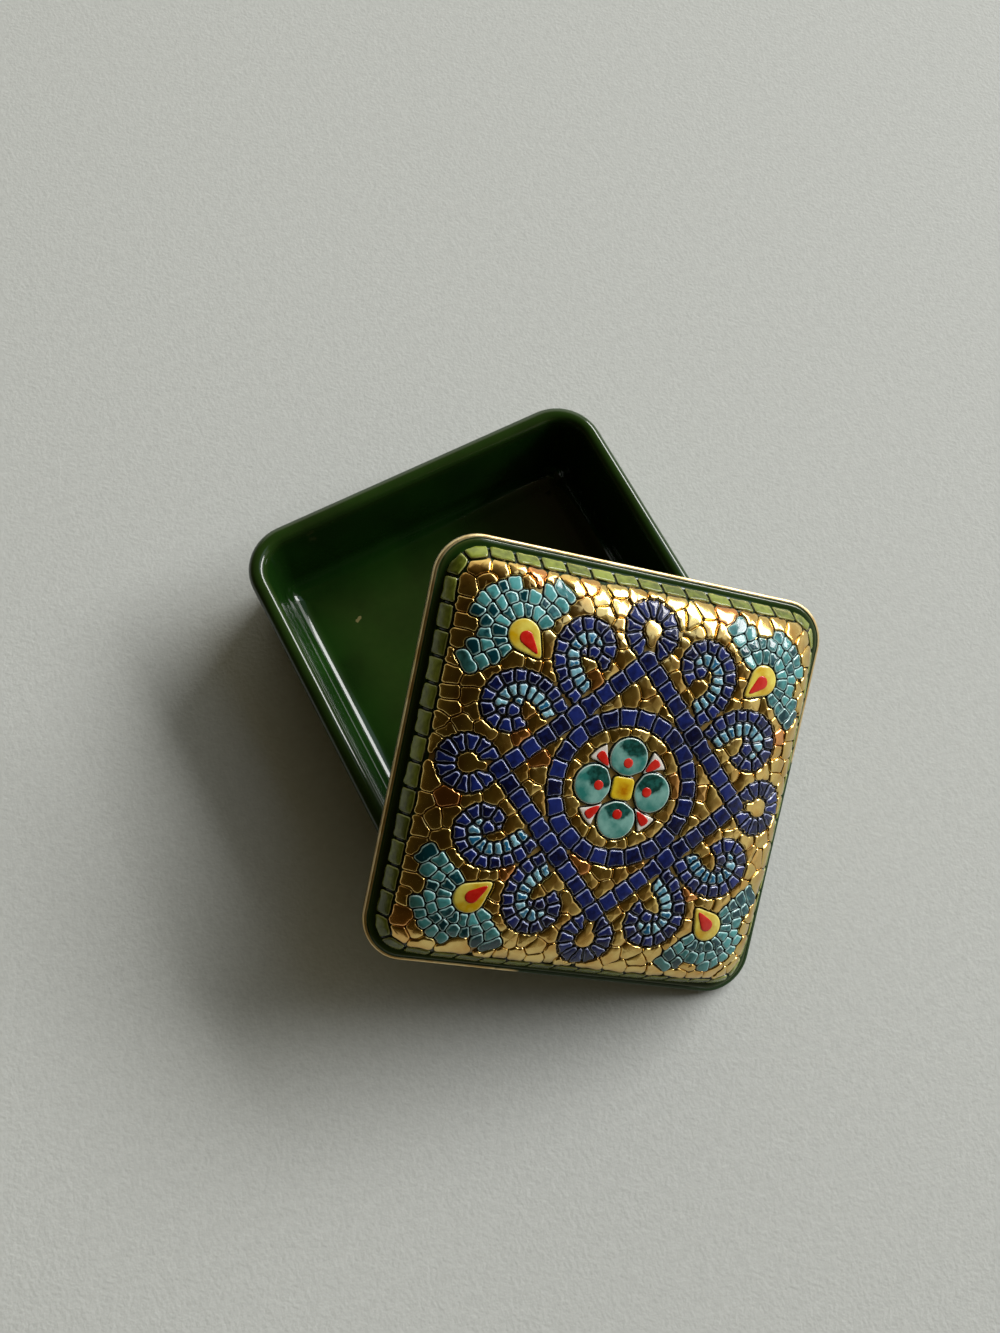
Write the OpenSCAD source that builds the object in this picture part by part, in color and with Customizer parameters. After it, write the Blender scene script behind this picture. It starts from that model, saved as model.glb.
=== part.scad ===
// Square ceramic trinket box with a domed mosaic lid. The lid is off and leans on the near rim.
// Millimetres, +Z up. The origin is the centre of the box's underside, on the table.

/* [Box] */
// Outer width of the square box at its rim
box_w = 101.5; // [80:0.5:140]
// Height of the box from the table to its rim
box_h = 27; // [20:0.5:50]
// Outer corner radius of the rim
box_r = 12.5; // [10:0.5:20]
// Wall thickness at the rim
wall_t = 4.5; // [4:0.1:6]
// How far the outer wall leans in from rim to foot
outer_draft = 2.5; // [0:0.1:4]
// How far the inner wall leans in from mouth to floor
inner_draft = 3; // [0:0.1:4]
// Thickness of the floor
floor_t = 3.3; // [2.5:0.1:8]
// Radius of the fillet between wall and floor
floor_fillet = 4; // [1:0.1:5]
// Radius of both rim edges
rim_round = 1.5; // [0.5:0.1:2]
// Radius of the foot's edge
foot_round = 2; // [0.5:0.1:4]

/* [Lid] */
// How far the lid's edge stands in from the rim's outer edge
lid_inset = 0.75; // [0:0.05:1.5]
// Height of the lid from its seat to the top of the mosaic
lid_h = 16.5; // [12:0.1:30]
// Outer corner radius of the lid
lid_r = 10.5; // [8:0.5:18]
// Thickness of the flange that rests on the rim
flange_t = 3; // [2.5:0.1:5]
// Width of the plain glazed band between the lid's edge and the dome
band_w = 2.8; // [2.2:0.1:6]
// Wall thickness at the top of the dome
dome_t = 3.8; // [2.5:0.1:6]
// Flatness of the dome's top: a higher value gives a flatter top and steeper sides
dome_flat = 4.5; // [2:0.1:8]
// Fullness of the dome's sides: a lower value gives fuller sides
dome_power = 0.32; // [0.2:0.01:0.7]
// Rounding of the dome's foot in plan
dome_soft = 0.6; // [0.3:0.1:2]
// Depth of the flat locating step below the seat
lip_h = 2.5; // [1.5:0.1:6]
// Half width of the hollow under the dome, inside the locating step
hollow_half = 26; // [20:0.5:28]
// Corner radius of the hollow
hollow_r = 12; // [8:0.5:18]
// Clearance between the locating step and the mouth of the box, on each side
lip_clear = 0.8; // [0.3:0.1:2]
// Radius of the flange's lower edge
edge_round = 0.6; // [0.2:0.1:0.8]
// Width of the gilded edge strip, measured inwards
gilt_w = 0.9; // [0.5:0.1:1.6]
// Height at which the gilded strip starts above the seat
gilt_z = 1; // [0.8:0.1:1.6]

/* [Lid placement] */
// Whether the lid leans on the box or closes it
lid_place = "leaning"; // [leaning, closed]
// Turn of the leaning lid in its own plane, in degrees
lean_turn = -35.7; // [-60:0.1:60]
// Distance of the lid's middle up the slope from the rim that it leans on
lean_shift = 7.2; // [0:0.1:15]
// Sideways offset of the leaning lid
lean_side = 1.6; // [-10:0.1:10]
// Clearance left where the lid rests
rest_clear = 0.05; // [0.02:0.01:0.3]

/* [Mosaic] */
// Clearance between the pattern's outermost tesserae and the border, as drawn
field_clear = 2; // [0.6:0.05:3]
// Height of a tessera above the dome
tile_t = 1; // [0.5:0.1:2]
// Gap between tesserae
tile_gap = 0.65; // [0.4:0.05:1]
// Width of the border row, seen from above
border_w = 2; // [1.5:0.1:4]
// Number of border tesserae on each quarter of the lid
border_count = 15; // [10:1:24]
// Distance from the lid's middle to where the straps cross
strap_reach = 29.5; // [28:0.1:30.5]
// Width of the strapwork
strap_w = 3.6; // [3:0.1:4]
// Tesserae between two crossings
strap_count = 9; // [5:1:12]
// Outer radius of the strap's loops
loop_r = 6.5; // [6:0.1:7]
// Tesserae round each loop
loop_count = 11; // [8:1:14]
// Gap between the strapwork and the ring round the rosette
ring_gap = 0.86; // [0.6:0.02:2]
// Tesserae in the ring
ring_count = 24; // [20:1:36]
// Length of a scroll along its outer row
scroll_len = 35.5; // [32:0.5:36.5]
// Width of each of a scroll's two rows
scroll_w = 2.6; // [2.2:0.1:2.7]
// Tesserae in a scroll's outer row
scroll_count = 12; // [9:1:15]
// Tesserae in a scroll's inner row
scroll_inner_count = 8; // [6:1:10]
// Distance from the strap crossings' circle out to the middle of a corner drop
drop_out = 12.9; // [12.5:0.1:14]
// Radius of a corner drop's round end
drop_r = 3.6; // [3.4:0.1:4.4]
// Radius of a petal
petal_r = 4.7; // [4:0.1:5.2]
// Gap between neighbouring petals
petal_gap = 0.78; // [0.5:0.02:1.5]
// Width of the rosette's square button
button_w = 5.4; // [4.6:0.1:5.6]
// Height of the enamel marks painted on the rosette and drops
enamel_t = 0.25; // [0.1:0.05:0.5]
// Spacing of the gold tesserae next to the coloured work
halo_pitch = 4.3; // [2.6:0.1:5]
// Spacing of the gold tesserae in the open ground
ground_pitch = 5.6; // [3:0.1:6]

/* [Hidden] */

// Hair gap between a tessera and the dome under it
eps = 0.02;
box_half = box_w / 2;
lid_half = box_half - lid_inset;
lid_corner = max(lid_r, band_w + border_w + 1.5);
mouth_half = box_half - wall_t;
mouth_r = box_r - wall_t;
lip_half = mouth_half - lip_clear;
lip_r = max(1.5, mouth_r - lip_clear);

// The dome is one formula: a power of the product of two flat-topped curves, cut off at its foot.
dome_half = lid_half - band_w;
dome_span = dome_half + dome_soft;
dome_cut = pow(1 - pow(dome_half / dome_span, dome_flat), dome_power);
dome_rise = (lid_h - tile_t - flange_t) / (1 - dome_cut);
inner_span = hollow_half + dome_soft;
inner_cut = pow(1 - pow(hollow_half / inner_span, dome_flat), dome_power);
inner_rise = (lid_h - tile_t - dome_t) / (1 - inner_cut);

// The lid leans on the near rim's rounded edge with its locating step and on the table with one corner.
lean_down = -90 - lean_turn;
lean_reach = (lid_half - lid_corner) * (abs(cos(lean_down)) + abs(sin(lean_down))) + lid_corner;
lean_fall = box_h - rim_round - edge_round - rest_clear;
lean_lift = rim_round + lip_h + rest_clear + edge_round;
lean_run = lean_reach - lean_shift - edge_round;
lean_tilt = atan2(lean_lift, lean_run) + asin(min(0.99, lean_fall / norm([lean_lift, lean_run])));
lean_off = rim_round + lip_h + rest_clear;
lean_pos = [
    lean_side,
    rim_round - box_half - lean_off * sin(lean_tilt) + lean_shift * cos(lean_tilt),
    box_h - rim_round + lean_off * cos(lean_tilt) + lean_shift * sin(lean_tilt)
];

// Plan sizes of the border
border_inset = 0.35;
border_half = dome_half - border_inset;
border_r = lid_corner - band_w - border_inset;

// Plan sizes of the pattern
strap_line = strap_reach / sqrt(2);
strap_pitch = strap_line * 2 / (strap_count + 1);
ring_r = strap_line - strap_w - ring_gap;
loop_reach = strap_reach + loop_r + tile_gap / 2;
loop_open = 18;
scroll_start = [2.3, strap_w / 2 + tile_gap];
scroll_head = 102;
// A scroll's turn in degrees for each row width of length, and how fast that grows
scroll_curl = 6.76;
scroll_coil = 1.115;
scroll_turn = scroll_curl / scroll_w;
scroll_tighten = scroll_coil / pow(scroll_w, 2);
scroll_step = 0.5;
scroll_inset = scroll_w + tile_gap * 0.7;
scroll_inner_end = scroll_w * 10;
drop_reach = strap_reach + drop_out;
drop_tip = drop_r * 1.9;
petal_reach = (2 * petal_r + petal_gap) / sqrt(2);
petal_turn = 125;
petal_neck = 1.2;
// Each row of a palmette runs round its drop: inner radius, outer radius, first and last angle, count
palmette_rows = [
    [drop_r + tile_gap, drop_r + 3.1, -14, 194, 9],
    [drop_r + 3.5, drop_r + 5.7, -8, 188, 11],
    [drop_r + 6.2, drop_r + 8.2, 56, 124, 5],
    [drop_r + 6.2, drop_r + 8.3, -6, 27, 2],
    [drop_r + 6.2, drop_r + 8.3, 153, 186, 2],
    [drop_r + 8.8, drop_r + 10.8, -3, 19, 1],
    [drop_r + 8.8, drop_r + 10.8, 161, 183, 1]
];
// Distance from the rosette's middle and half width along a white gore and along its red tick
gore_widths = petal_reach * [[0.78, 0], [1.056, 0.097], [1.278, 0.222], [1.514, 0.361], [1.569, 0]];
tick_widths = petal_reach * [[0.87, 0], [1.14, 0.12], [1.4, 0.165], [1.46, 0.08]];
dot_r = petal_r / 4;
dot_reach = petal_reach - dot_r;
flame_r = drop_r * 0.42;
flame_tip = drop_r * 1.45;
flame_reach = drop_reach - drop_r * 0.25;
// Gold ground: grid of trial sites, their shake, cell sizes and how far coloured work is looked for
ground_seed = 7;
ground_step = 1.25;
ground_shake = 0.4;
ground_room = 1;
halo_depth = 2;
filler_pitch = 3;
ground_reach = 5;
smallest_cell = 1.8;
shortest_side = 0.2;
block_reach = 11;
// Shares of the half width at which the lid's skin is drawn, under and on the dome
inner_steps = [0.12, 0.3, 0.5, 0.68, 0.82, 0.91, 0.96, 0.985];
dome_steps = [1, 0.994, 0.986, 0.974, 0.955, 0.925, 0.88, 0.81, 0.7, 0.55, 0.36, 0.16];
dome_corner = 1.15;
// The glazed band falls a little towards the gilded edge.
band_fall = 0.1;
band_edge = 0.5;
band_soft = 0.4;

// Small helpers

function sum(v, i = 0) = i == len(v) - 1 ? v[i] : v[i] + sum(v, i + 1);
function middle(poly) = sum(poly) / len(poly);
function unit(v) = v / norm(v);
function turn(p, a) = [p.x * cos(a) - p.y * sin(a), p.x * sin(a) + p.y * cos(a)];
function turn_all(poly, a) = [for (p = poly) turn(p, a)];
function flip(poly) = [for (i = [len(poly) - 1:-1:0]) [-poly[i].x, poly[i].y]];
function shift(poly, v) = [for (p = poly) p + v];
function quarters(polys) = [for (k = [0:3]) for (p = polys) turn_all(p, 90 * k)];
function ray(r, a) = r * [cos(a), sin(a)];
function arc(c, r, a0, a1, n) = [for (i = [0:n]) c + ray(r, a0 + (a1 - a0) * i / n)];
function mirrored(widths) = concat(
    [for (w = widths) [w.x, -w.y]],
    [for (i = [len(widths) - 1:-1:0]) if (widths[i].y > 0) widths[i]]
);
function area(poly) = abs(sum([
    for (i = [0:len(poly) - 1])
        let (a = poly[i], b = poly[(i + 1) % len(poly)])
            a.x * b.y - a.y * b.x
])) / 2;

// Dome surface

function brow(x, span) = max(0, 1 - pow(abs(x / span), dome_flat));
function bowl(p, span) = brow(p.x, span) * brow(p.y, span);
function brow_slope(x, span) = dome_flat * sign(x) * pow(abs(x / span), dome_flat - 1) / span;
function dome_z(p) = flange_t + max(0, dome_rise * (pow(bowl(p, dome_span), dome_power) - dome_cut));
function inner_z(p) = max(0, inner_rise * (pow(bowl(p, inner_span), dome_power) - inner_cut));
function dome_normal(p) =
    let (k = dome_rise * dome_power * pow(bowl(p, dome_span), dome_power - 1))
    unit([
        k * brow_slope(p.x, dome_span) * brow(p.y, dome_span),
        k * brow_slope(p.y, dome_span) * brow(p.x, dome_span),
        1
    ]);

// A ring of points on a rounded square, the same number for every size, so that rings can be joined.

corner_steps = 8;
side_steps = 6;
ring_points = 4 * (corner_steps + side_steps);
function square_ring(half, r) =
    let (c = half - r)
    [
        for (k = [0:3])
            each turn_all(
                concat(
                    [for (i = [1:side_steps]) [half, c * (2 * i / side_steps - 1)]],
                    [for (i = [1:corner_steps]) [c, c] + ray(r, 90 * i / corner_steps)]
                ),
                90 * k
            )
    ];
function flat_ring(half, r, z) = [for (p = square_ring(half, r)) [p.x, p.y, z]];

// A closed skin through rings of points, from the middle of the underside to the middle of the top.

module skin(rings, bottom, top) {
    n = ring_points;
    last = len(rings) - 1;
    points = concat([bottom], [for (r = rings) each r], [top]);
    function at(i, j) = 1 + i * n + j % n;
    polyhedron(
        points,
        concat(
            [for (j = [0:n - 1]) [0, at(0, j), at(0, j + 1)]],
            [
                for (i = [0:last - 1]) for (j = [0:n - 1])
                    each [
                        [at(i, j), at(i + 1, j), at(i + 1, j + 1)],
                        [at(i, j), at(i + 1, j + 1), at(i, j + 1)]
                    ]
            ],
            [for (j = [0:n - 1]) [at(last, j), len(points) - 1, at(last, j + 1)]]
        )
    );
}

// A profile carried round a rounded square. Its x is measured from the corners' centre lines.

module carry(profile, half, r) {
    c = half - r;
    for (k = [0:3])
        rotate(90 * k) {
            translate([c, c, 0])
                rotate_extrude(angle = 90)
                    polygon(profile);
            translate([c, c, 0])
                rotate([90, 0, 0])
                    linear_extrude(2 * c)
                        polygon(profile);
        }
}

// Box and lid bodies

module box_dish() {
    foot = box_r - outer_draft;
    mouth = box_r - wall_t;
    wall_foot = max(floor_fillet, mouth - inner_draft);
    core = box_half - box_r;
    profile = concat(
        [[0, 0]],
        arc([foot - foot_round, foot_round], foot_round, -90, 0, 5),
        arc([box_r - rim_round, box_h - rim_round], rim_round, 0, 90, 8),
        arc([mouth + rim_round, box_h - rim_round], rim_round, 90, 180, 8),
        arc([wall_foot - floor_fillet, floor_t + floor_fillet], floor_fillet, 0, -90, 8),
        wall_foot > floor_fillet ? [[0, floor_t]] : []
    );
    color([0.09, 0.2, 0.07])
        union() {
            carry(profile, box_half, box_r);
            translate([-core, -core, 0])
                cube([2 * core, 2 * core, floor_t]);
        }
}

module place_lid() {
    if (lid_place == "leaning")
        translate(lean_pos)
            rotate([lean_tilt, 0, 0])
                rotate(lean_turn)
                    children();
    else
        translate([0, 0, box_h])
            children();
}

function dome_ring(half) =
    let (r = min(half, lid_corner - band_w + dome_corner * (dome_half - half)))
    [for (p = square_ring(half, r)) [p.x, p.y, dome_z(p)]];
function inner_ring(half) =
    let (r = min(half, hollow_r + dome_corner * (hollow_half - half)))
    [for (p = square_ring(half, r)) [p.x, p.y, inner_z(p)]];

module lid_shell() {
    ledge = lid_half - gilt_w;
    ledge_r = lid_corner - gilt_w;
    rings = concat(
        [for (f = inner_steps) inner_ring(hollow_half * f)],
        [
            flat_ring(hollow_half, hollow_r, 0),
            flat_ring(hollow_half, hollow_r, edge_round - lip_h),
            flat_ring(hollow_half + edge_round, hollow_r + edge_round, -lip_h),
            flat_ring(lip_half - edge_round, lip_r - edge_round, -lip_h),
            flat_ring(lip_half, lip_r, edge_round - lip_h),
            flat_ring(lip_half, lip_r, 0)
        ],
        [
            for (a = [0:30:90])
                let (d = edge_round * (1 - sin(a)))
                    flat_ring(lid_half - d, lid_corner - d, edge_round * (1 - cos(a)))
        ],
        [
            flat_ring(lid_half, lid_corner, gilt_z),
            flat_ring(ledge, ledge_r, gilt_z),
            flat_ring(ledge, ledge_r, flange_t - band_edge),
            flat_ring(ledge - band_soft, ledge_r - band_soft, flange_t - band_fall)
        ],
        [for (f = dome_steps) dome_ring(dome_half * f)]
    );
    color([0.1, 0.22, 0.08])
        place_lid()
            skin(rings, [0, 0, inner_z([0, 0])], [0, 0, dome_z([0, 0])]);
}

module lid_gilt_edge() {
    top = flange_t - 0.3;
    bead = min(gilt_w * 0.6, top - gilt_z - 2 * eps);
    profile = concat(
        [[lid_corner - gilt_w + eps, gilt_z + eps], [lid_corner, gilt_z + eps]],
        arc([lid_corner - bead, top - bead], bead, 0, 90, 6),
        [[lid_corner - gilt_w + eps, top]]
    );
    color([0.8, 0.62, 0.25])
        place_lid()
            carry(profile, lid_half, lid_corner);
}

// A tessera is a flat tile on the dome's tangent plane at point c. Its outline is given in plan.

module tessera(outline, c, lift, thick) {
    n = dome_normal(c);
    e1 = unit([n.z, 0, -n.x]);
    e2 = cross(n, e1);
    base = [c.x, c.y, dome_z(c)] + (eps + lift) * n;
    flat = [
        for (p = outline)
            let (d = p - c, v = [d.x, d.y, -(n.x * d.x + n.y * d.y) / n.z])
                [v * e1, v * e2]
    ];
    multmatrix([
        [e1.x, e2.x, n.x, base.x],
        [e1.y, e2.y, n.y, base.y],
        [e1.z, e2.z, n.z, base.z],
        [0, 0, 0, 1]
    ])
        linear_extrude(thick)
            polygon(flat);
}

module mosaic(outlines, seats = [], lift = 0, thick = tile_t) {
    place_lid()
        for (i = [0:len(outlines) - 1])
            tessera(outlines[i], i < len(seats) ? seats[i] : middle(outlines[i]), lift, thick);
}

// Outlines of the coloured work, in plan

function brick(c, a, l, w) =
    shift(turn_all([[-l, -w] / 2, [l, -w] / 2, [l, w] / 2, [-l, w] / 2], a), c);
function wedge(c, r0, r1, a0, a1) =
    let (g0 = tile_gap / 2 / r0 * 180 / PI, g1 = tile_gap / 2 / r1 * 180 / PI, m = (a0 + a1) / 2)
    [
        for (v = [[r0, a0 + g0], [r1, a0 + g1], [r1, m], [r1, a1 - g1], [r0, a1 - g0]])
            c + ray(v[0], v[1])
    ];
function wedges(c, r0, r1, a0, a1, n) =
    [for (i = [0:n - 1]) wedge(c, r0, r1, a0 + (a1 - a0) * i / n, a0 + (a1 - a0) * (i + 1) / n)];

function strap_outlines() = quarters(concat(
    [brick([strap_reach, 0], 45, strap_w - 0.2, strap_w - 0.2)],
    [
        for (i = [1:strap_count])
            brick(
                turn([strap_line, strap_line - i * strap_pitch], 45),
                135, strap_pitch - tile_gap, strap_w
            )
    ]
));
function loop_outlines() = quarters(wedges(
    [loop_reach, 0], loop_r - strap_w, loop_r, loop_open - 180, 180 - loop_open, loop_count
));
function ring_outlines() =
    wedges([0, 0], ring_r - strap_w / 2, ring_r + strap_w / 2, 0, 360, ring_count);

// A scroll's heading turns ever faster along its length. Its frame has x along the strap and y outwards.

function scroll_bend(s) = scroll_turn * s + scroll_tighten * s * s;
scroll_path = [
    for (
        i = 0, p = scroll_start;
        i * scroll_step <= scroll_len + scroll_step;
        p = p + ray(scroll_step, scroll_head - scroll_bend((i + 0.5) * scroll_step)),
        i = i + 1
    )
        p
];
function scroll_at(s, d) =
    let (
        i = min(len(scroll_path) - 2, floor(s / scroll_step)),
        f = s / scroll_step - i,
        h = scroll_head - scroll_bend(s)
    )
    scroll_path[i] * (1 - f) + scroll_path[i + 1] * f + d * [sin(h), -cos(h)];
// Length along a row that runs d inside the path, and the path length at which a row length is reached
function row_len(s, d) = s - d * scroll_bend(s) * PI / 180;
function row_s(len, d) =
    let (k = d * PI / 180, b = 1 - k * scroll_turn, c = k * scroll_tighten)
    d == 0 ? len : (b - sqrt(max(0, b * b - 4 * c * len))) / (2 * c);
function scroll_tile(s0, s1, d) =
    let (h = scroll_w / 2)
    [
        scroll_at(s0, d - h),
        scroll_at((s0 + s1) / 2, d - h),
        scroll_at(s1, d - h),
        scroll_at(s1, d + h),
        scroll_at(s0, d + h)
    ];
function scroll_row(d, end, n) =
    let (pitch = row_len(end, d) / n, g = tile_gap / 2)
    [for (i = [0:n - 1]) scroll_tile(row_s(i * pitch + g, d), row_s((i + 1) * pitch - g, d), d)];
function scroll_pairs(row) =
    let (pair = concat(row, [for (q = row) flip(q)]))
    quarters([for (p = pair) turn_all(shift(p, [0, strap_line]), -45)]);
// The round tessera in the middle of a scroll lies between the ends of its two rows.
function scroll_eye() =
    let (
        a = scroll_at(scroll_len, scroll_w / 2),
        b = scroll_at(scroll_inner_end, scroll_inset + scroll_w / 2)
    )
    arc((a + b) / 2, max(0.5, norm(b - a) / 2 - tile_gap / 2), 0, 315, 7);
function scroll_outer_outlines() =
    scroll_pairs(concat(scroll_row(0, scroll_len, scroll_count), [scroll_eye()]));
function scroll_inner_outlines() =
    scroll_pairs(scroll_row(scroll_inset, scroll_inner_end, scroll_inner_count));

// A palmette's frame has y along the lid's diagonal, outwards.

function on_diagonal(polys) = quarters([for (p = polys) turn_all(p, -45)]);
function palmette_outlines() =
    on_diagonal([for (r = palmette_rows) each wedges([0, drop_reach], r[0], r[1], r[2], r[3], r[4])]);
function drop_shape(reach, r, tip) =
    let (a = asin(r / tip))
    concat([[0, reach - tip]], arc([0, reach], r, -a, 180 + a, 18));
function drop_outlines() = on_diagonal([drop_shape(drop_reach, drop_r, drop_tip)]);

// The rosette

function petal_outlines() =
    let (neck = button_w / 2 + tile_gap / 2)
    quarters([
        concat(
            arc([petal_reach, 0], petal_r, -petal_turn, petal_turn, 18),
            [[neck, petal_neck], [neck, -petal_neck]]
        )
    ]);
function gore_outlines() = quarters([turn_all(mirrored(gore_widths), 45)]);
function button_outline() =
    let (h = button_w / 2, r = button_w / 5)
    [for (k = [0:3]) each arc(turn([h - r, h - r], 90 * k), r, 90 * k, 90 * k + 90, 4)];
function mark_outlines() = concat(
    quarters([arc([dot_reach, 0], dot_r, 0, 330, 11)]),
    quarters([turn_all(mirrored(tick_widths), 45)]),
    on_diagonal([drop_shape(flame_reach, flame_r, flame_tip)])
);
// Each mark stands on the plane of the petal, gore or drop that carries it.
function mark_seats() =
    [for (outline = concat(petal_outlines(), gore_outlines(), drop_outlines())) middle(outline)];

// The pattern is scaled so that its outermost tesserae end a set clearance inside the border.

pattern_reach = max([
    for (outline = concat(loop_outlines(), palmette_outlines(), scroll_outer_outlines()))
        for (p = outline)
            max(abs(p.x), abs(p.y))
]);
pattern_half = pattern_reach + field_clear;
pattern_scale = (border_half - border_w) / pattern_half;
pattern_r = (border_r - border_w) / pattern_scale;

// Border tesserae lie side by side along a rounded square.

function border_outlines() =
    let (
        n = 4 * border_count,
        g = tile_gap / 2 / (8 * (border_half - border_r) + 2 * PI * border_r),
        tile = [[0, g], [0, 0.5 / n], [0, 1 / n - g], [border_w, 1 / n - g], [border_w, g]]
    )
    [for (i = [0:n - 1]) [for (v = tile) border_at(i / n + v[1], v[0])]];
// The point at a share t of the way round the border's outer line, moved inwards
function border_at(t, inset) =
    let (
        side = border_half - border_r,
        k = floor(t * 4),
        d = (t * 4 - k) * (2 * side + border_r * PI / 2),
        a = max(0, d - 2 * side) / border_r * 180 / PI
    )
    turn(
        d < 2 * side ? [border_half - inset, d - side] : [side, side] + ray(border_r - inset, a),
        90 * k
    );

// Gold ground: cells round scattered sites, cut by their neighbours and by the coloured work.

function nearest_on(p, a, b) =
    let (d = b - a)
    a + d * max(0, min(1, (p - a) * d / (d * d)));
function nearest(p, poly) =
    let (
        spots = [for (i = [0:len(poly) - 1]) nearest_on(p, poly[i], poly[(i + 1) % len(poly)])],
        gaps = [for (s = spots) norm(s - p)],
        least = min(gaps)
    )
    [for (i = [0:len(spots) - 1]) if (gaps[i] == least) spots[i]][0];
function inside(p, poly) =
    let (
        sides = [
            for (i = [0:len(poly) - 1])
                let (a = poly[i], b = poly[(i + 1) % len(poly)])
                    (b.x - a.x) * (p.y - a.y) - (b.y - a.y) * (p.x - a.x)
        ]
    )
    min(sides) >= 0 || max(sides) <= 0;
function clip(poly, q, n) = [
    for (i = [0:len(poly) - 1])
        let (a = poly[i], b = poly[(i + 1) % len(poly)], da = (a - q) * n, db = (b - q) * n)
            each concat(
                da >= 0 ? [a] : [],
                (da >= 0) != (db >= 0) ? [a + (b - a) * da / (da - db)] : []
            )
];
function clip_all(poly, cuts, i = 0) =
    i == len(cuts) || len(poly) < 3 ? poly : clip_all(clip(poly, cuts[i][0], cuts[i][1]), cuts, i + 1);
function thinned(poly) = [
    for (i = [0:len(poly) - 1])
        if (norm(poly[i] - poly[(i + 1) % len(poly)]) > shortest_side)
            poly[i]
];

// Distance from a point to the coloured work, or nothing where the point lies in it
function room(p, blocks) =
    let (near = [for (b = blocks) if (norm(b[0] - p) < block_reach) b[1]])
    len([for (b = near) if (inside(p, b)) 1]) > 0
        ? 0
        : min(concat([block_reach], [for (b = near) norm(nearest(p, b) - p)]));
function spread(spots, gap, taken) =
    [
        for (
            i = 0, kept = taken;
            i <= len(spots);
            kept = i < len(spots) && len([for (k = kept) if (norm(k - spots[i]) < gap) 1]) == 0
                ? concat(kept, [spots[i]]) : kept,
            i = i + 1
        )
            if (i == len(spots)) kept
    ][0];
function ground_blocks() = [
    for (
        p = concat(
            border_outlines() / pattern_scale, strap_outlines(), loop_outlines(), ring_outlines(),
            scroll_outer_outlines(), scroll_inner_outlines(), palmette_outlines(), drop_outlines(),
            petal_outlines(), gore_outlines(), [button_outline()]
        )
    )
        [middle(p), p]
];
// Trial sites on a shaken grid, each with its distance to the coloured work; none in the loops
function ground_spots(blocks, eyes) =
    let (
        n = floor(pattern_half / ground_step),
        nudge = rands(-ground_shake, ground_shake, 2 * pow(2 * n + 1, 2), ground_seed),
        core = pattern_half - pattern_r
    )
    [
        for (i = [-n:n]) for (j = [-n:n])
            let (
                k = 2 * ((i + n) * (2 * n + 1) + j + n),
                p = ground_step * [i + nudge[k], j + nudge[k + 1]],
                c = norm([max(0, abs(p.x) - core), max(0, abs(p.y) - core)]),
                free = c < pattern_r && min([for (e = eyes) norm(p - e)]) > loop_r,
                r = free ? room(p, blocks) : 0
            )
                if (r > ground_room) [p, r]
    ];
function ground_cells(sites, blocks) = [
    for (s = sites)
        let (
            near = [for (b = blocks) if (norm(b[0] - s) < block_reach) b[1]],
            cuts = concat(
                [
                    for (q = sites)
                        if (q != s && norm(q - s) < 2 * ground_reach)
                            [(q + s) / 2 - unit(q - s) * tile_gap / 2, unit(s - q)]
                ],
                [
                    for (b = near)
                        let (q = nearest(s, b), u = unit(s - q))
                            if (norm(s - q) < ground_reach) [q + u * tile_gap, u]
                ]
            ),
            cell = thinned(clip_all(arc(s, ground_reach, 0, 315, 7), cuts))
        )
            if (len(cell) > 2 && area(cell) > smallest_cell)
                cell
];
// A first set of cells is laid, then small ones go where ground is left bare.
function ground_outlines() =
    let (
        blocks = ground_blocks(),
        eyes = [for (k = [0:3]) turn([loop_reach, 0], 90 * k)],
        spots = ground_spots(blocks, eyes),
        halo = spread([for (s = spots) if (s[1] < halo_depth) s[0]], halo_pitch, eyes),
        sites = spread([for (s = spots) s[0]], ground_pitch, halo),
        laid = ground_cells(sites, blocks),
        bare = [for (s = spots) if (len([for (c = laid) if (inside(s[0], c)) 1]) == 0) s[0]]
    )
    ground_cells(spread(bare, filler_pitch, sites), blocks);

// Mosaic nodes, one for each glaze and motif

module border_tesserae() {
    color([0.42, 0.54, 0.2])
        mosaic(border_outlines());
}

module ground_tesserae() {
    color([0.79, 0.62, 0.28])
        mosaic(pattern_scale * ground_outlines());
}

module strap_tesserae() {
    color([0.13, 0.16, 0.48])
        mosaic(pattern_scale * strap_outlines());
}

module loop_tesserae() {
    color([0.13, 0.16, 0.48])
        mosaic(pattern_scale * loop_outlines());
}

module ring_tesserae() {
    color([0.13, 0.16, 0.48])
        mosaic(pattern_scale * ring_outlines());
}

module scroll_outer_tesserae() {
    color([0.15, 0.18, 0.5])
        mosaic(pattern_scale * scroll_outer_outlines());
}

module scroll_inner_tesserae() {
    color([0.42, 0.7, 0.78])
        mosaic(pattern_scale * scroll_inner_outlines());
}

module palmette_tesserae() {
    color([0.3, 0.6, 0.6])
        mosaic(pattern_scale * palmette_outlines());
}

module corner_drops() {
    color([0.85, 0.7, 0.13])
        mosaic(pattern_scale * drop_outlines());
}

module rosette_petals() {
    color([0.5, 0.71, 0.68])
        mosaic(pattern_scale * petal_outlines());
}

module rosette_gores() {
    color([0.91, 0.89, 0.86])
        mosaic(pattern_scale * gore_outlines());
}

module rosette_button() {
    color([0.85, 0.66, 0.05])
        mosaic([pattern_scale * button_outline()]);
}

module enamel_marks() {
    color([0.78, 0.12, 0.1])
        mosaic(pattern_scale * mark_outlines(), pattern_scale * mark_seats(), tile_t + eps, enamel_t);
}

box_dish();
lid_shell();
lid_gilt_edge();
border_tesserae();
ground_tesserae();
strap_tesserae();
loop_tesserae();
ring_tesserae();
scroll_outer_tesserae();
scroll_inner_tesserae();
palmette_tesserae();
corner_drops();
rosette_petals();
rosette_gores();
rosette_button();
enamel_marks();
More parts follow.
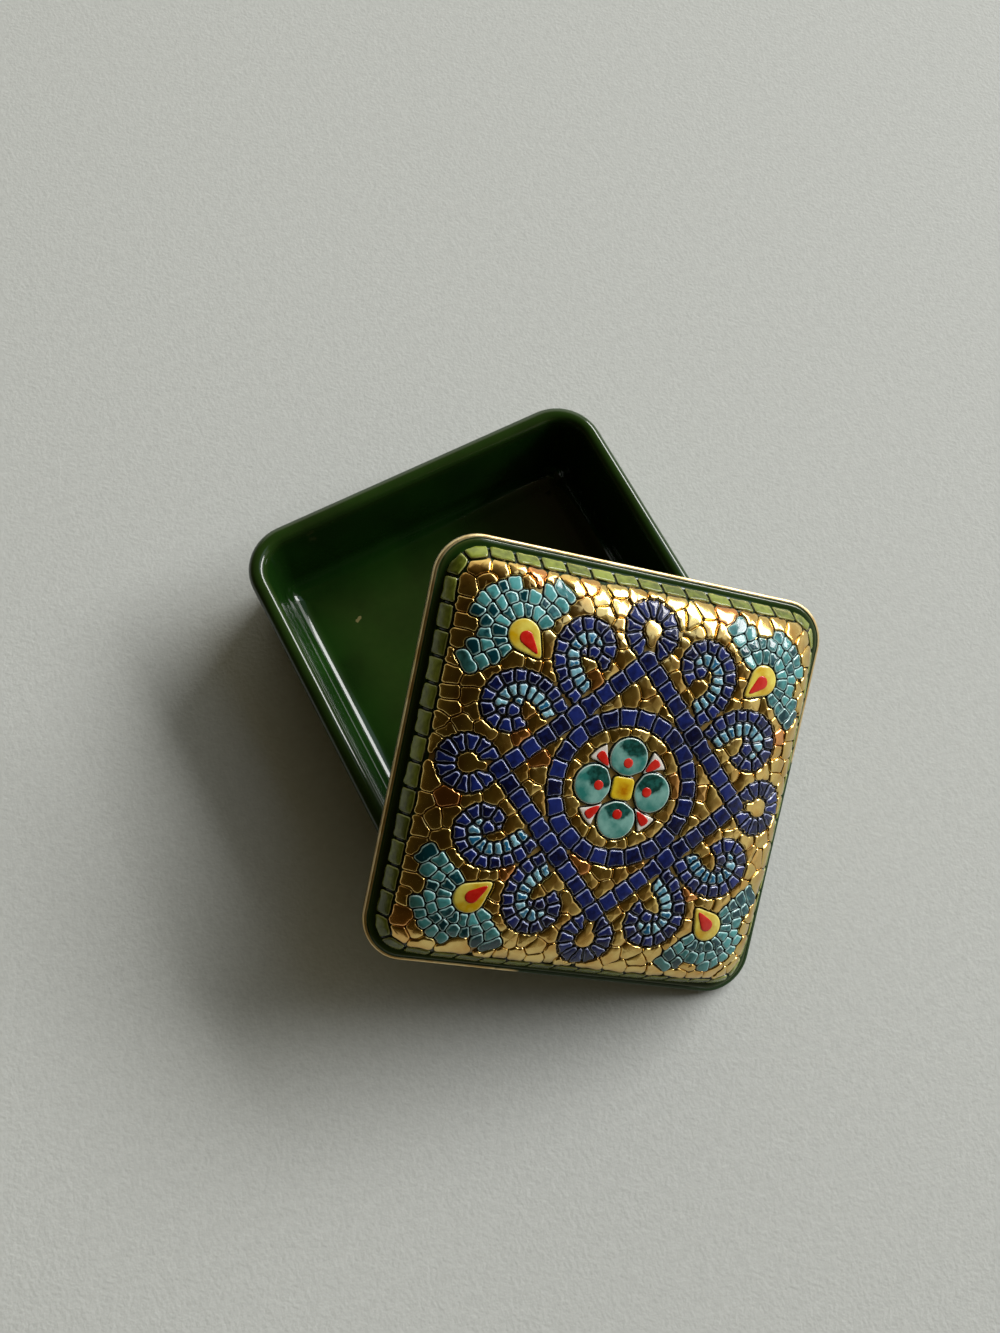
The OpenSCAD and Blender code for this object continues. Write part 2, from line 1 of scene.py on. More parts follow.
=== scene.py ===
"""Looks of a square ceramic trinket box with a domed mosaic lid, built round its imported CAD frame."""

import logging
import math
from collections.abc import Callable, Sequence
from dataclasses import dataclass, field, replace
from enum import Enum

import bpy
import numpy as np
from mathutils import Matrix, Vector, kdtree


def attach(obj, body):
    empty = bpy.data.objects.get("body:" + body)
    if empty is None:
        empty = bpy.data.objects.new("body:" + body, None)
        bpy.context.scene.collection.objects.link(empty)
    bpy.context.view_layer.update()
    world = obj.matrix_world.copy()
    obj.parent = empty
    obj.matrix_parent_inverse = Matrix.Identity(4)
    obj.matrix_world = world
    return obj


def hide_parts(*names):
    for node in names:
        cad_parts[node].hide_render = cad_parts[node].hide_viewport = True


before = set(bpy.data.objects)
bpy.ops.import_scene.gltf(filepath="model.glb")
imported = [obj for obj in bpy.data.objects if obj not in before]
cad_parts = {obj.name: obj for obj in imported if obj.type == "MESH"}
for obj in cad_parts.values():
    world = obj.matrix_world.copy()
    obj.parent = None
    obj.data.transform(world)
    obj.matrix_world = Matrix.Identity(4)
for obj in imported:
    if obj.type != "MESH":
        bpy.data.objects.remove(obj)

LOG = logging.getLogger("trinket_box")
MM = 0.001
# The two ends of a mask that a colour ramp draws
NONE = "#000000"
FULL = "#ffffff"
# Seed of the first group of tesserae; each later group takes the next number
FIRST_SEED = 11

Tree = bpy.types.NodeTree
Socket = bpy.types.NodeSocket


class Body(Enum):
    """CAD bodies that the pieces ride on."""

    BOX = "box"
    LID = "lid"


class Attr(Enum):
    """Per-vertex values that the finishes read."""

    RISE = "rise"
    SHADE = "shade"
    # Share of olive: glaze thinned over an edge, and painted light on the box floor's middle
    THIN_GLAZE_AND_LIGHT = "thin"
    PATCH = "patch"


class Kind(Enum):
    """Kinds of shader node, by Blender's names."""

    ATTRIBUTE = "ShaderNodeAttribute"
    BUMP = "ShaderNodeBump"
    COORDS = "ShaderNodeTexCoord"
    MAPPING = "ShaderNodeMapping"
    MATH = "ShaderNodeMath"
    MIX = "ShaderNodeMix"
    NOISE = "ShaderNodeTexNoise"
    RAMP = "ShaderNodeValToRGB"
    SHADER = "ShaderNodeBsdfPrincipled"
    VECTOR = "ShaderNodeVectorMath"


# Small tools


def linear(code: str) -> tuple[float, float, float, float]:
    """Turns an sRGB hex colour into linear RGBA, by the curve of the sRGB standard.

    Args:
        code: Six hex digits with a leading hash.

    Returns:
        Red, green, blue and an alpha of one.
    """
    parts = [int(code[i : i + 2], 16) / 255 for i in (1, 3, 5)]
    r, g, b = (c / 12.92 if c <= 0.04045 else ((c + 0.055) / 1.055) ** 2.4 for c in parts)
    return r, g, b, 1.0


def add_node(
    tree: Tree,
    kind: Kind,
    settings: dict[str | int, object] | None = None,
    links: dict[str | int, Socket] | None = None,
    out: str | int = 0,
) -> Socket:
    """Adds one shader node, sets it and links its inputs.

    Args:
        tree: Node tree to add to.
        kind: Kind of node.
        settings: Node properties, or input sockets by name or number. The stops of a colour ramp are
            positions and sRGB hex colours, in order.
        links: Output sockets to link, by the name or number of the input.
        out: Name or number of the output that is wanted.

    Returns:
        The node's output.
    """
    node = tree.nodes.new(kind.value)
    for key, value in (settings or {}).items():
        if key == "stops":
            elements = node.color_ramp.elements
            while len(elements) < len(value):
                elements.new(0.5)
            for element, (place, code) in zip(elements, value):
                element.position = place
                element.color = linear(code)
        elif isinstance(key, str) and key in node.bl_rna.properties:
            setattr(node, key, value)
        else:
            node.inputs[key].default_value = value
    for key, socket in (links or {}).items():
        tree.links.new(socket, node.inputs[key])
    return node.outputs[out]


def new_mesh(
    name: str,
    points: np.ndarray,
    faces: Sequence[Sequence[int]],
    values: dict[Attr, np.ndarray],
) -> bpy.types.Object:
    """Makes a smooth-shaded object from points in the row frame.

    Args:
        name: Object name.
        points: Points in millimetres, one row each.
        faces: Point numbers of each face.
        values: Per-vertex values for the finishes.

    Returns:
        The new object, linked to the scene.
    """
    mesh = bpy.data.meshes.new(name)
    mesh.from_pydata((points * MM).tolist(), [], [list(f) for f in faces])
    for attr, data in values.items():
        layer = mesh.attributes.new(attr.value, "FLOAT", "POINT")
        layer.data.foreach_set("value", np.asarray(data, dtype=np.float32))
    mesh.shade_smooth()
    obj = bpy.data.objects.new(name, mesh)
    bpy.context.scene.collection.objects.link(obj)
    return obj


def square_ring(half: float, radius: float, corner: int, side: int) -> np.ndarray:
    """Points round a square with rounded corners.

    Args:
        half: Half width of the square.
        radius: Corner radius.
        corner: Steps in each corner.
        side: Steps along each side.

    Returns:
        Plan points, the same number for every size.
    """
    core = half - radius
    run = [(half, core * (2 * i / side - 1)) for i in range(1, side + 1)]
    run += arc(core, core, radius, 0, 90, corner)[1:]
    turn = np.array([[0.0, 1.0], [-1.0, 0.0]])
    out = [np.array(run)]
    for _ in range(3):
        out.append(out[-1] @ turn)
    return np.concatenate(out)


def at_height(xy: np.ndarray, z: float) -> np.ndarray:
    """Lifts plan points to one height."""
    return np.column_stack([xy, np.full(len(xy), z)])


def strip(a: int, b: int, count: int) -> list[tuple[int, ...]]:
    """Faces between two rings of so many points, which start at points a and b."""
    pairs = [(j, (j + 1) % count) for j in range(count)]
    return [(a + j, a + k, b + k, b + j) for j, k in pairs]


def loft_faces(rings: int, count: int) -> list[tuple[int, ...]]:
    """Faces of a closed skin through rings, with a middle point at each end.

    Args:
        rings: Number of rings.
        count: Points in each ring.

    Returns:
        Point numbers of each face; the first point is the start's middle and the last the end's.
    """
    faces: list[tuple[int, ...]] = []
    last = 1 + (rings - 1) * count
    for j in range(count):
        k = (j + 1) % count
        faces.append((0, 1 + k, 1 + j))
        faces.append((last + j, last + k, rings * count + 1))
    for i in range(rings - 1):
        faces += strip(1 + i * count, 1 + (i + 1) * count, count)
    return faces


def arc(
    cx: float, cy: float, radius: float, start: float, end: float, steps: int
) -> list[tuple[float, float]]:
    """Points on a circle's arc round (cx, cy), in order, from one angle in degrees to another."""
    angles = [math.radians(start + (end - start) * i / steps) for i in range(steps + 1)]
    return [(cx + radius * math.cos(a), cy + radius * math.sin(a)) for a in angles]


# Finishes


@dataclass(frozen=True, kw_only=True)
class Finish:
    """A surface finish. Each kind draws its own colour, and all of them share one shader.

    Roughness, IOR and coat start from the shader's own defaults, which a metal keeps. A span in a kind of
    finish is the stretch of a value over which one colour fades into the next.
    """

    name: str
    roughness: float = 0.5
    ior: float = 1.5
    coat: float = 0.0
    coat_roughness: float = 0.03
    ripple_mm: float
    ripple_depth_mm: float = 0.03
    ripple_detail: float = 2.0

    def draw(self, tree: Tree) -> dict[str | int, Socket]:
        """Draws what one kind of finish has of its own: sockets for the shader's inputs, by name."""
        raise NotImplementedError

    @staticmethod
    def mottle(tree: Tree, size_mm: float, detail: float = 3.0) -> Socket:
        """Soft blotches of a real size, fixed to the object.

        Args:
            tree: The material's node tree.
            size_mm: Size of one blotch.
            detail: Number of finer layers.

        Returns:
            A value from zero to one.
        """
        coords = add_node(tree, Kind.COORDS, out="Object")
        settings = {"Scale": 1 / (size_mm * MM), "Detail": detail}
        return add_node(tree, Kind.NOISE, settings, {"Vector": coords}, "Fac")

    def ripple(self, tree: Tree) -> Socket:
        """Unevenness of the fired or painted skin.

        Args:
            tree: The material's node tree.

        Returns:
            The normal.
        """
        height = self.mottle(tree, self.ripple_mm, self.ripple_detail)
        settings = {"Strength": 1.0, "Distance": self.ripple_depth_mm * MM}
        return add_node(tree, Kind.BUMP, settings, {"Height": height}, "Normal")

    def material(self) -> bpy.types.Material:
        """Makes the material, or finds it where it exists.

        Returns:
            The material.
        """
        found = bpy.data.materials.get(self.name)
        if found:
            return found
        made = bpy.data.materials.new(self.name)
        made.use_nodes = True
        tree = made.node_tree
        tree.nodes.remove(tree.nodes["Principled BSDF"])
        settings = {
            "Roughness": self.roughness,
            "IOR": self.ior,
            "Coat Weight": self.coat,
            "Coat Roughness": self.coat_roughness,
        }
        links = self.draw(tree) | {"Normal": self.ripple(tree)}
        shader = add_node(tree, Kind.SHADER, settings, links)
        tree.links.new(shader, tree.nodes["Material Output"].inputs["Surface"])
        return made


@dataclass(frozen=True, kw_only=True)
class MosaicGlaze(Finish):
    """Glossy glaze on a relief tessera: dark in the grooves, pale where it breaks over the edge."""

    groove: str
    edge: str
    body: str
    light: str
    edge_from: float = 0.5
    edge_to: float = 0.72
    groove_fade: float = 0.12
    edge_fade: float = 0.14
    wear: float = 0.2
    wear_mm: float = 0.9
    variety: float = 0.5
    pool_mm: float = 1.6
    pool_span: tuple[float, float] = (0.25, 0.75)
    roughness: float = 0.12
    ior: float = 1.48
    coat: float = 0.1
    coat_roughness: float = 0.05
    ripple_mm: float = 0.7

    def draw(self, tree: Tree) -> dict[str | int, Socket]:
        """Draws the glaze.

        Args:
            tree: The material's node tree.

        Returns:
            Sockets for the shader's inputs, by name.
        """
        rise = add_node(tree, Kind.ATTRIBUTE, {"attribute_name": Attr.RISE.value}, out="Fac")
        settings = {"operation": "MULTIPLY_ADD", 1: self.wear, 2: -self.wear / 2}
        worn = add_node(tree, Kind.MATH, settings, {0: self.mottle(tree, self.wear_mm)})
        place = add_node(tree, Kind.MATH, {"operation": "ADD"}, {0: rise, 1: worn})
        shade = add_node(tree, Kind.ATTRIBUTE, {"attribute_name": Attr.SHADE.value}, out="Fac")
        settings = {"operation": "MULTIPLY_ADD", 1: self.variety, 2: -self.variety / 2}
        toned = add_node(tree, Kind.MATH, settings, {0: shade})
        links = {0: self.mottle(tree, self.pool_mm), 1: toned}
        pooled = add_node(tree, Kind.MATH, {"operation": "ADD"}, links)
        stops = list(zip(self.pool_span, (self.body, self.light)))
        body = add_node(tree, Kind.RAMP, {"stops": stops}, {"Fac": pooled})
        dark_to = self.edge_from - self.groove_fade
        stops = [(0.0, self.groove), (dark_to, self.groove), (self.edge_from, self.edge)]
        rim = add_node(tree, Kind.RAMP, {"stops": stops}, {"Fac": place})
        stops = [(self.edge_to, NONE), (self.edge_to + self.edge_fade, FULL)]
        share = add_node(tree, Kind.RAMP, {"stops": stops}, {"Fac": place})
        links = {"Factor": share, "A": rim, "B": body}
        return {"Base Color": add_node(tree, Kind.MIX, {"data_type": "RGBA"}, links, "Result")}


@dataclass(frozen=True, kw_only=True)
class PaintedGlaze(Finish):
    """Glaze with a brushed darker patch, on the rosette's petals and button and on the drops."""

    groove: str
    edge: str
    body: str
    light: str
    patch: str
    patch_edge: float = 0.5
    patch_sharp: float = 0.16
    wash_mm: float = 4.5
    wash_detail: float = 5.0
    wash_span: tuple[float, float] = (0.36, 0.62)
    wobble: float = 0.5
    wobble_mm: float = 1.5
    wobble_detail: float = 4.0
    deep_mm: float = 1.1
    deep_span: tuple[float, float] = (0.4, 1.0)
    groove_to: float = 0.42
    edge_span: tuple[float, float] = (0.55, 0.7)
    top_span: tuple[float, float] = (0.68, 0.85)
    roughness: float = 0.14
    coat: float = 0.3
    coat_roughness: float = 0.06
    ripple_mm: float = 1.2

    def draw(self, tree: Tree) -> dict[str | int, Socket]:
        """Draws the glaze.

        Args:
            tree: The material's node tree.

        Returns:
            Sockets for the shader's inputs, by name.
        """
        rise = add_node(tree, Kind.ATTRIBUTE, {"attribute_name": Attr.RISE.value}, out="Fac")
        stops = list(zip(self.wash_span, (self.body, self.light)))
        blotch = self.mottle(tree, self.wash_mm, self.wash_detail)
        wash = add_node(tree, Kind.RAMP, {"stops": stops}, {"Fac": blotch})
        settings = {"operation": "MULTIPLY_ADD", 1: self.wobble, 2: -self.wobble / 2}
        blotch = self.mottle(tree, self.wobble_mm, self.wobble_detail)
        wobble = add_node(tree, Kind.MATH, settings, {0: blotch})
        patch = add_node(tree, Kind.ATTRIBUTE, {"attribute_name": Attr.PATCH.value}, out="Fac")
        stroke = add_node(tree, Kind.MATH, {"operation": "ADD"}, {0: patch, 1: wobble})
        fade = self.patch_sharp / 2
        stops = [(self.patch_edge - fade, NONE), (self.patch_edge + fade, FULL)]
        stroke = add_node(tree, Kind.RAMP, {"stops": stops}, {"Fac": stroke})
        stops = list(zip(self.deep_span, (self.patch, self.body)))
        deep = add_node(tree, Kind.RAMP, {"stops": stops}, {"Fac": self.mottle(tree, self.deep_mm)})
        links = {"Factor": stroke, "A": wash, "B": deep}
        top = add_node(tree, Kind.MIX, {"data_type": "RGBA"}, links, "Result")
        stops = [(0.0, self.groove), (self.groove_to, self.groove)]
        stops += [(at, self.edge) for at in self.edge_span]
        rim = add_node(tree, Kind.RAMP, {"stops": stops}, {"Fac": rise})
        stops = list(zip(self.top_span, (NONE, FULL)))
        share = add_node(tree, Kind.RAMP, {"stops": stops}, {"Fac": rise})
        links = {"Factor": share, "A": rim, "B": top}
        return {"Base Color": add_node(tree, Kind.MIX, {"data_type": "RGBA"}, links, "Result")}


@dataclass(frozen=True, kw_only=True)
class GoldLustre(Finish):
    """Fired gold lustre: a thin metal skin over glaze, which shows bare in the grooves."""

    bright: str
    brown: str
    # Orange of a painted reflection, laid on a few random cells
    orange_reflection: str
    bare: str
    skin_mm: float = 5.0
    skin_detail: float = 4.0
    skin_span: tuple[float, float] = (0.32, 0.6)
    orange_reflection_span: tuple[float, float] = (0.88, 0.94)
    cover_span: tuple[float, float] = (0.12, 0.34)
    wear_mm: float = 0.6
    wear: tuple[tuple[float, str], ...] = ((0.2, "#2e2e2e"), (0.8, "#5c5c5c"))
    wear_share: float = 0.5
    least_rough: float
    ripple_depth_mm: float = 0.06

    def draw(self, tree: Tree) -> dict[str | int, Socket]:
        """Draws the metal.

        Args:
            tree: The material's node tree.

        Returns:
            Sockets for the shader's inputs, by name.
        """
        stops = list(zip(self.skin_span, (self.brown, self.bright)))
        blotch = self.mottle(tree, self.skin_mm, self.skin_detail)
        skin = add_node(tree, Kind.RAMP, {"stops": stops}, {"Fac": blotch})
        # A few random cells take the orange: a painted reflection
        shade = add_node(tree, Kind.ATTRIBUTE, {"attribute_name": Attr.SHADE.value}, out="Fac")
        stops = list(zip(self.orange_reflection_span, (NONE, FULL)))
        orange_reflection_share = add_node(tree, Kind.RAMP, {"stops": stops}, {"Fac": shade})
        settings = {"data_type": "RGBA", "B": linear(self.orange_reflection)}
        gold_with_reflection = add_node(tree, Kind.MIX, settings, {"Factor": orange_reflection_share, "A": skin}, "Result")
        rise = add_node(tree, Kind.ATTRIBUTE, {"attribute_name": Attr.RISE.value}, out="Fac")
        stops = list(zip(self.cover_span, (NONE, FULL)))
        cover = add_node(tree, Kind.RAMP, {"stops": stops}, {"Fac": rise})
        settings = {"data_type": "RGBA", "A": linear(self.bare)}
        colour = add_node(tree, Kind.MIX, settings, {"Factor": cover, "B": gold_with_reflection}, "Result")
        worn = add_node(tree, Kind.RAMP, {"stops": self.wear}, {"Fac": self.mottle(tree, self.wear_mm)})
        settings = {"operation": "MULTIPLY_ADD", 1: self.wear_share, 2: self.least_rough}
        rough = add_node(tree, Kind.MATH, settings, {0: worn})
        return {"Base Color": colour, "Metallic": cover, "Roughness": rough}


@dataclass(frozen=True, kw_only=True)
class DeepGlaze(Finish):
    """Gloss glaze that thins to olive on edges, clouds darker where it pools, and has one bare fleck; on the
    box floor's middle the olive is painted light.
    """

    body: str
    pooled: str
    # Olive of glaze thinned over edges, also laid on the box floor's middle as painted light
    thin: str
    fleck: str
    fleck_at_mm: tuple[float, float, float]
    fleck_mm: tuple[float, float, float]
    fleck_turn_deg: float
    cloud_mm: float = 14.0
    cloud_detail: float = 4.0
    cloud_span: tuple[float, float] = (0.35, 0.65)
    break_mm: float = 2.0
    break_detail: float = 4.0
    break_spread: float = 0.6
    break_least: float = 0.7
    ragged_mm: float = 0.7
    ragged_spread: float = 1.2
    ragged_edge: float = 1.5
    roughness: float = 0.09
    ior: float = 1.45
    ripple_mm: float = 9.0
    ripple_depth_mm: float = 0.02

    def draw(self, tree: Tree) -> dict[str | int, Socket]:
        """Draws the glaze.

        Args:
            tree: The material's node tree.

        Returns:
            Sockets for the shader's inputs, by name.
        """
        stops = list(zip(self.cloud_span, (self.pooled, self.body)))
        blotch = self.mottle(tree, self.cloud_mm, self.cloud_detail)
        cloud = add_node(tree, Kind.RAMP, {"stops": stops}, {"Fac": blotch})
        settings = {"operation": "MULTIPLY_ADD", 1: self.break_spread, 2: self.break_least}
        blotch = self.mottle(tree, self.break_mm, self.break_detail)
        broken = add_node(tree, Kind.MATH, settings, {0: blotch})
        # Olive where the glaze thins over edges, and painted light on the box floor's middle
        thin = add_node(tree, Kind.ATTRIBUTE, {"attribute_name": Attr.THIN_GLAZE_AND_LIGHT.value}, out="Fac")
        share = add_node(tree, Kind.MATH, {"operation": "MULTIPLY"}, {0: thin, 1: broken})
        settings = {"data_type": "RGBA", "B": linear(self.thin)}
        edge = add_node(tree, Kind.MIX, settings, {"Factor": share, "A": cloud}, "Result")
        coords = add_node(tree, Kind.COORDS, out="Object")
        settings = {
            "vector_type": "TEXTURE",
            "Location": tuple(c * MM for c in self.fleck_at_mm),
            "Rotation": (0.0, 0.0, math.radians(self.fleck_turn_deg)),
            "Scale": tuple(c * MM for c in self.fleck_mm),
        }
        local = add_node(tree, Kind.MAPPING, settings, {"Vector": coords})
        apart = add_node(tree, Kind.VECTOR, {"operation": "LENGTH"}, {0: local}, "Value")
        settings = {"operation": "MULTIPLY_ADD", 1: self.ragged_spread}
        ragged = add_node(tree, Kind.MATH, settings, {0: self.mottle(tree, self.ragged_mm), 2: apart})
        settings = {"operation": "LESS_THAN", 1: self.ragged_edge}
        chip = add_node(tree, Kind.MATH, settings, {0: ragged})
        settings = {"data_type": "RGBA", "B": linear(self.fleck)}
        return {"Base Color": add_node(tree, Kind.MIX, settings, {"Factor": chip, "A": edge}, "Result")}


@dataclass(frozen=True, kw_only=True)
class PaleTable(Finish):
    """Matt painted table with a faint roller texture."""

    body: str
    shade: str
    grain_mm: float = 2.5
    grain_detail: float = 5.0
    grain_span: tuple[float, float] = (0.3, 0.7)
    roughness: float = 0.75
    ior: float = 1.45
    ripple_mm: float = 1.0
    ripple_depth_mm: float = 0.12

    def draw(self, tree: Tree) -> dict[str | int, Socket]:
        """Draws the table.

        Args:
            tree: The material's node tree.

        Returns:
            Sockets for the shader's inputs, by name.
        """
        stops = list(zip(self.grain_span, (self.shade, self.body)))
        blotch = self.mottle(tree, self.grain_mm, self.grain_detail)
        return {"Base Color": add_node(tree, Kind.RAMP, {"stops": stops}, {"Fac": blotch})}


# Named finishes of the object

# Gloss glaze poured on cast earthenware: deep and wet, with sharp reflections, olive on thin edges, and
# olive on the dish floor's middle as painted light
GREEN = DeepGlaze(
    name="bottle green glaze", body="#17350d", pooled="#112a0a", thin="#566030", fleck="#787048",
    fleck_at_mm=(-27.8, 26.7, 3.3), fleck_mm=(1.3, 0.52, 1.0), fleck_turn_deg=27.0,
)
# Liquid gold fired on glazed relief: mirror-like pebbles with brown grooves, a few of them tinted orange as
# a painted reflection
GOLD = GoldLustre(
    name="gold lustre", bright="#e8cb80", brown="#d0a45c", orange_reflection="#f0a868", bare="#2c1c08",
    ripple_mm=4.0, least_rough=0.11,
)
# Liquid gold brushed on by hand: paler and softer in its shine than the ground, green where it is left off
GILT = GoldLustre(
    name="brushed gilding", bright="#f3dca8", brown="#dcb878", orange_reflection="#c08c50", bare="#1b3b13",
    ripple_mm=1.5, least_rough=0.34,
)
# Half-glossy olive glaze of the border row: soft yellow-green cushions with a pale shoulder
OLIVE = MosaicGlaze(
    name="olive glaze", groove="#0a1204", edge="#aab05e", body="#566016", light="#8c9838",
    edge_to=0.64, roughness=0.2,
)
# Cobalt glaze of straps, loops, ring and scrolls: near black where deep, with a milky line along each edge
LAPIS = MosaicGlaze(
    name="lapis glaze", groove="#010310", edge="#a8b0d4", body="#04082a", light="#1b2a70",
    edge_to=0.66, roughness=0.1,
)
# Thin blue glaze of the inner scroll rows: watery, from sea blue to nearly white
AQUA = MosaicGlaze(
    name="aqua glaze", groove="#021622", edge="#bcdce4", body="#1c648c", light="#86c0d0", variety=0.9,
)
# Copper glaze of the palmettes: dark teal pools with pale turquoise edges, no two pieces alike
TURQUOISE = MosaicGlaze(
    name="turquoise glaze", groove="#01151a", edge="#b4dcda", body="#053a42", light="#529e9e",
    edge_from=0.52, edge_to=0.62, variety=0.9,
)
# Pale teal wash with one dark brush stroke on each petal: cloudy, with a wet shine
TEAL = PaintedGlaze(
    name="teal petal glaze", groove="#05201b", edge="#c6ded6", body="#2c7d75", light="#84b8ae",
    patch="#033832",
)
# Opaque white glaze of the gores: chalky in colour but glossy
WHITE = PaintedGlaze(
    name="white gore glaze", groove="#2a2414", edge="#d8d2c4", body="#dcd7cc", light="#ece8e0",
    patch="#c9c2b4",
)
# Clear amber glaze of the rosette's button: honey yellow, darker where it pools
AMBER = PaintedGlaze(
    name="amber button glaze", groove="#2c2006", edge="#e6cc40", body="#dcae08", light="#e8c82c",
    patch="#b87000", patch_sharp=0.4,
)
# Yellow glaze of the corner drops: lemon at the rim and ochre in the middle
YELLOW = PaintedGlaze(
    name="yellow drop glaze", groove="#2c2408", edge="#eadd7c", body="#d8ac10", light="#f0e064",
    patch="#c48c10", patch_sharp=0.5,
)
# Red enamel painted over the glaze: flat, bright and slightly raised
RED = MosaicGlaze(
    name="red enamel", groove="#a3140e", edge="#cf2018", body="#cb1b12", light="#de362a",
    edge_from=0.3, edge_to=0.5, roughness=0.16,
)
# Matt paint rolled on a table top: pale grey with a fine grain, not part of the object
TABLE = PaleTable(name="pale table", body="#cfd2ce", shade="#c8cbc7")


# The lid's shape


@dataclass(frozen=True)
class LidShape:
    """Sizes of the lid, in millimetres, and its place in the row frame."""

    half: float = 50.0
    corner: float = 10.5
    flange: float = 3.0
    band: float = 2.8
    crest: float = 15.5
    # Powers that shape the dome, and how far its formula runs on past the foot
    flatness: float = 4.5
    fullness: float = 0.32
    soft: float = 0.6
    step_half: float = 45.45
    step_r: float = 7.2
    step_depth: float = 2.5
    hollow_half: float = 26.0
    hollow_r: float = 12.0
    ceiling: float = 11.7
    edge: float = 0.6
    gilt: float = 0.9
    gilt_low: float = 1.0
    gilt_top: float = 2.7
    tilt_deg: float = 29.960
    turn_deg: float = -35.7
    place: tuple[float, float, float] = (1.6, -45.0347, 32.6045)
    slope_step: float = 0.05

    @property
    def foot(self) -> float:
        """Half width of the dome's foot."""
        return self.half - self.band

    def matrix(self) -> np.ndarray:
        """Rotation from the lid's own frame to the row frame."""
        tilt = Matrix.Rotation(math.radians(self.tilt_deg), 3, "X")
        return np.array(tilt @ Matrix.Rotation(math.radians(self.turn_deg), 3, "Z"))

    def to_row(self, points: np.ndarray) -> np.ndarray:
        """Moves points from the lid's frame to the row frame."""
        return points @ self.matrix().T + np.array(self.place)

    def to_lid(self, points: np.ndarray) -> np.ndarray:
        """Moves points from the row frame to the lid's frame."""
        return (points - np.array(self.place)) @ self.matrix()

    def swell(self, xy: np.ndarray, foot: float, rise: float) -> np.ndarray:
        """Height of a flat-topped dome over its foot.

        Args:
            xy: Plan points.
            foot: Half width of the dome's foot.
            rise: Height of the dome's middle.

        Returns:
            One height per point.
        """
        span = foot + self.soft
        brow = np.maximum(0.0, 1 - np.abs(xy / span) ** self.flatness)
        cut = (1 - (foot / span) ** self.flatness) ** self.fullness
        return np.maximum(0.0, rise * ((brow[:, 0] * brow[:, 1]) ** self.fullness - cut) / (1 - cut))

    def dome(self, xy: np.ndarray) -> np.ndarray:
        """Height of the dome's face at plan points."""
        return self.flange + self.swell(xy, self.foot, self.crest - self.flange)

    def normal(self, xy: np.ndarray) -> np.ndarray:
        """Outward normals of the dome's face, by small steps.

        Args:
            xy: Plan points.

        Returns:
            One unit vector per point.
        """
        d = self.slope_step
        sx = (self.dome(xy + [d, 0]) - self.dome(xy - [d, 0])) / (2 * d)
        sy = (self.dome(xy + [0, d]) - self.dome(xy - [0, d])) / (2 * d)
        n = np.stack([-sx, -sy, np.ones(len(xy))], axis=1)
        return n / np.linalg.norm(n, axis=1, keepdims=True)

    def on_dome(self, xy: np.ndarray, lift: np.ndarray | float) -> np.ndarray:
        """Points of the lid's frame at a height over the dome's face, measured along its normal."""
        base = np.column_stack([xy, self.dome(xy)])
        return base + self.normal(xy) * np.broadcast_to(np.asarray(lift), (len(xy),))[:, None]


LID = LidShape()


# Sub-assemblies


@dataclass
class Piece:
    """A shown piece that stands for CAD nodes."""

    nodes: tuple[str, ...]
    body: Body
    slot: str
    shown: list[bpy.types.Object] = field(default_factory=list)

    def build(self) -> None:
        """Makes the piece's meshes."""
        raise NotImplementedError

    def dress(self) -> None:
        """Gives the piece its finish."""
        raise NotImplementedError

    def join(self) -> None:
        """Ties the meshes to the CAD body and hides the CAD nodes."""
        for obj in self.shown:
            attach(obj, self.body.value)
        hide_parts(*self.nodes)

    def make(self) -> int:
        """Builds, dresses and ties the piece.

        Returns:
            The number of points in its meshes.
        """
        self.build()
        self.dress()
        self.join()
        return sum(len(obj.data.vertices) for obj in self.shown)


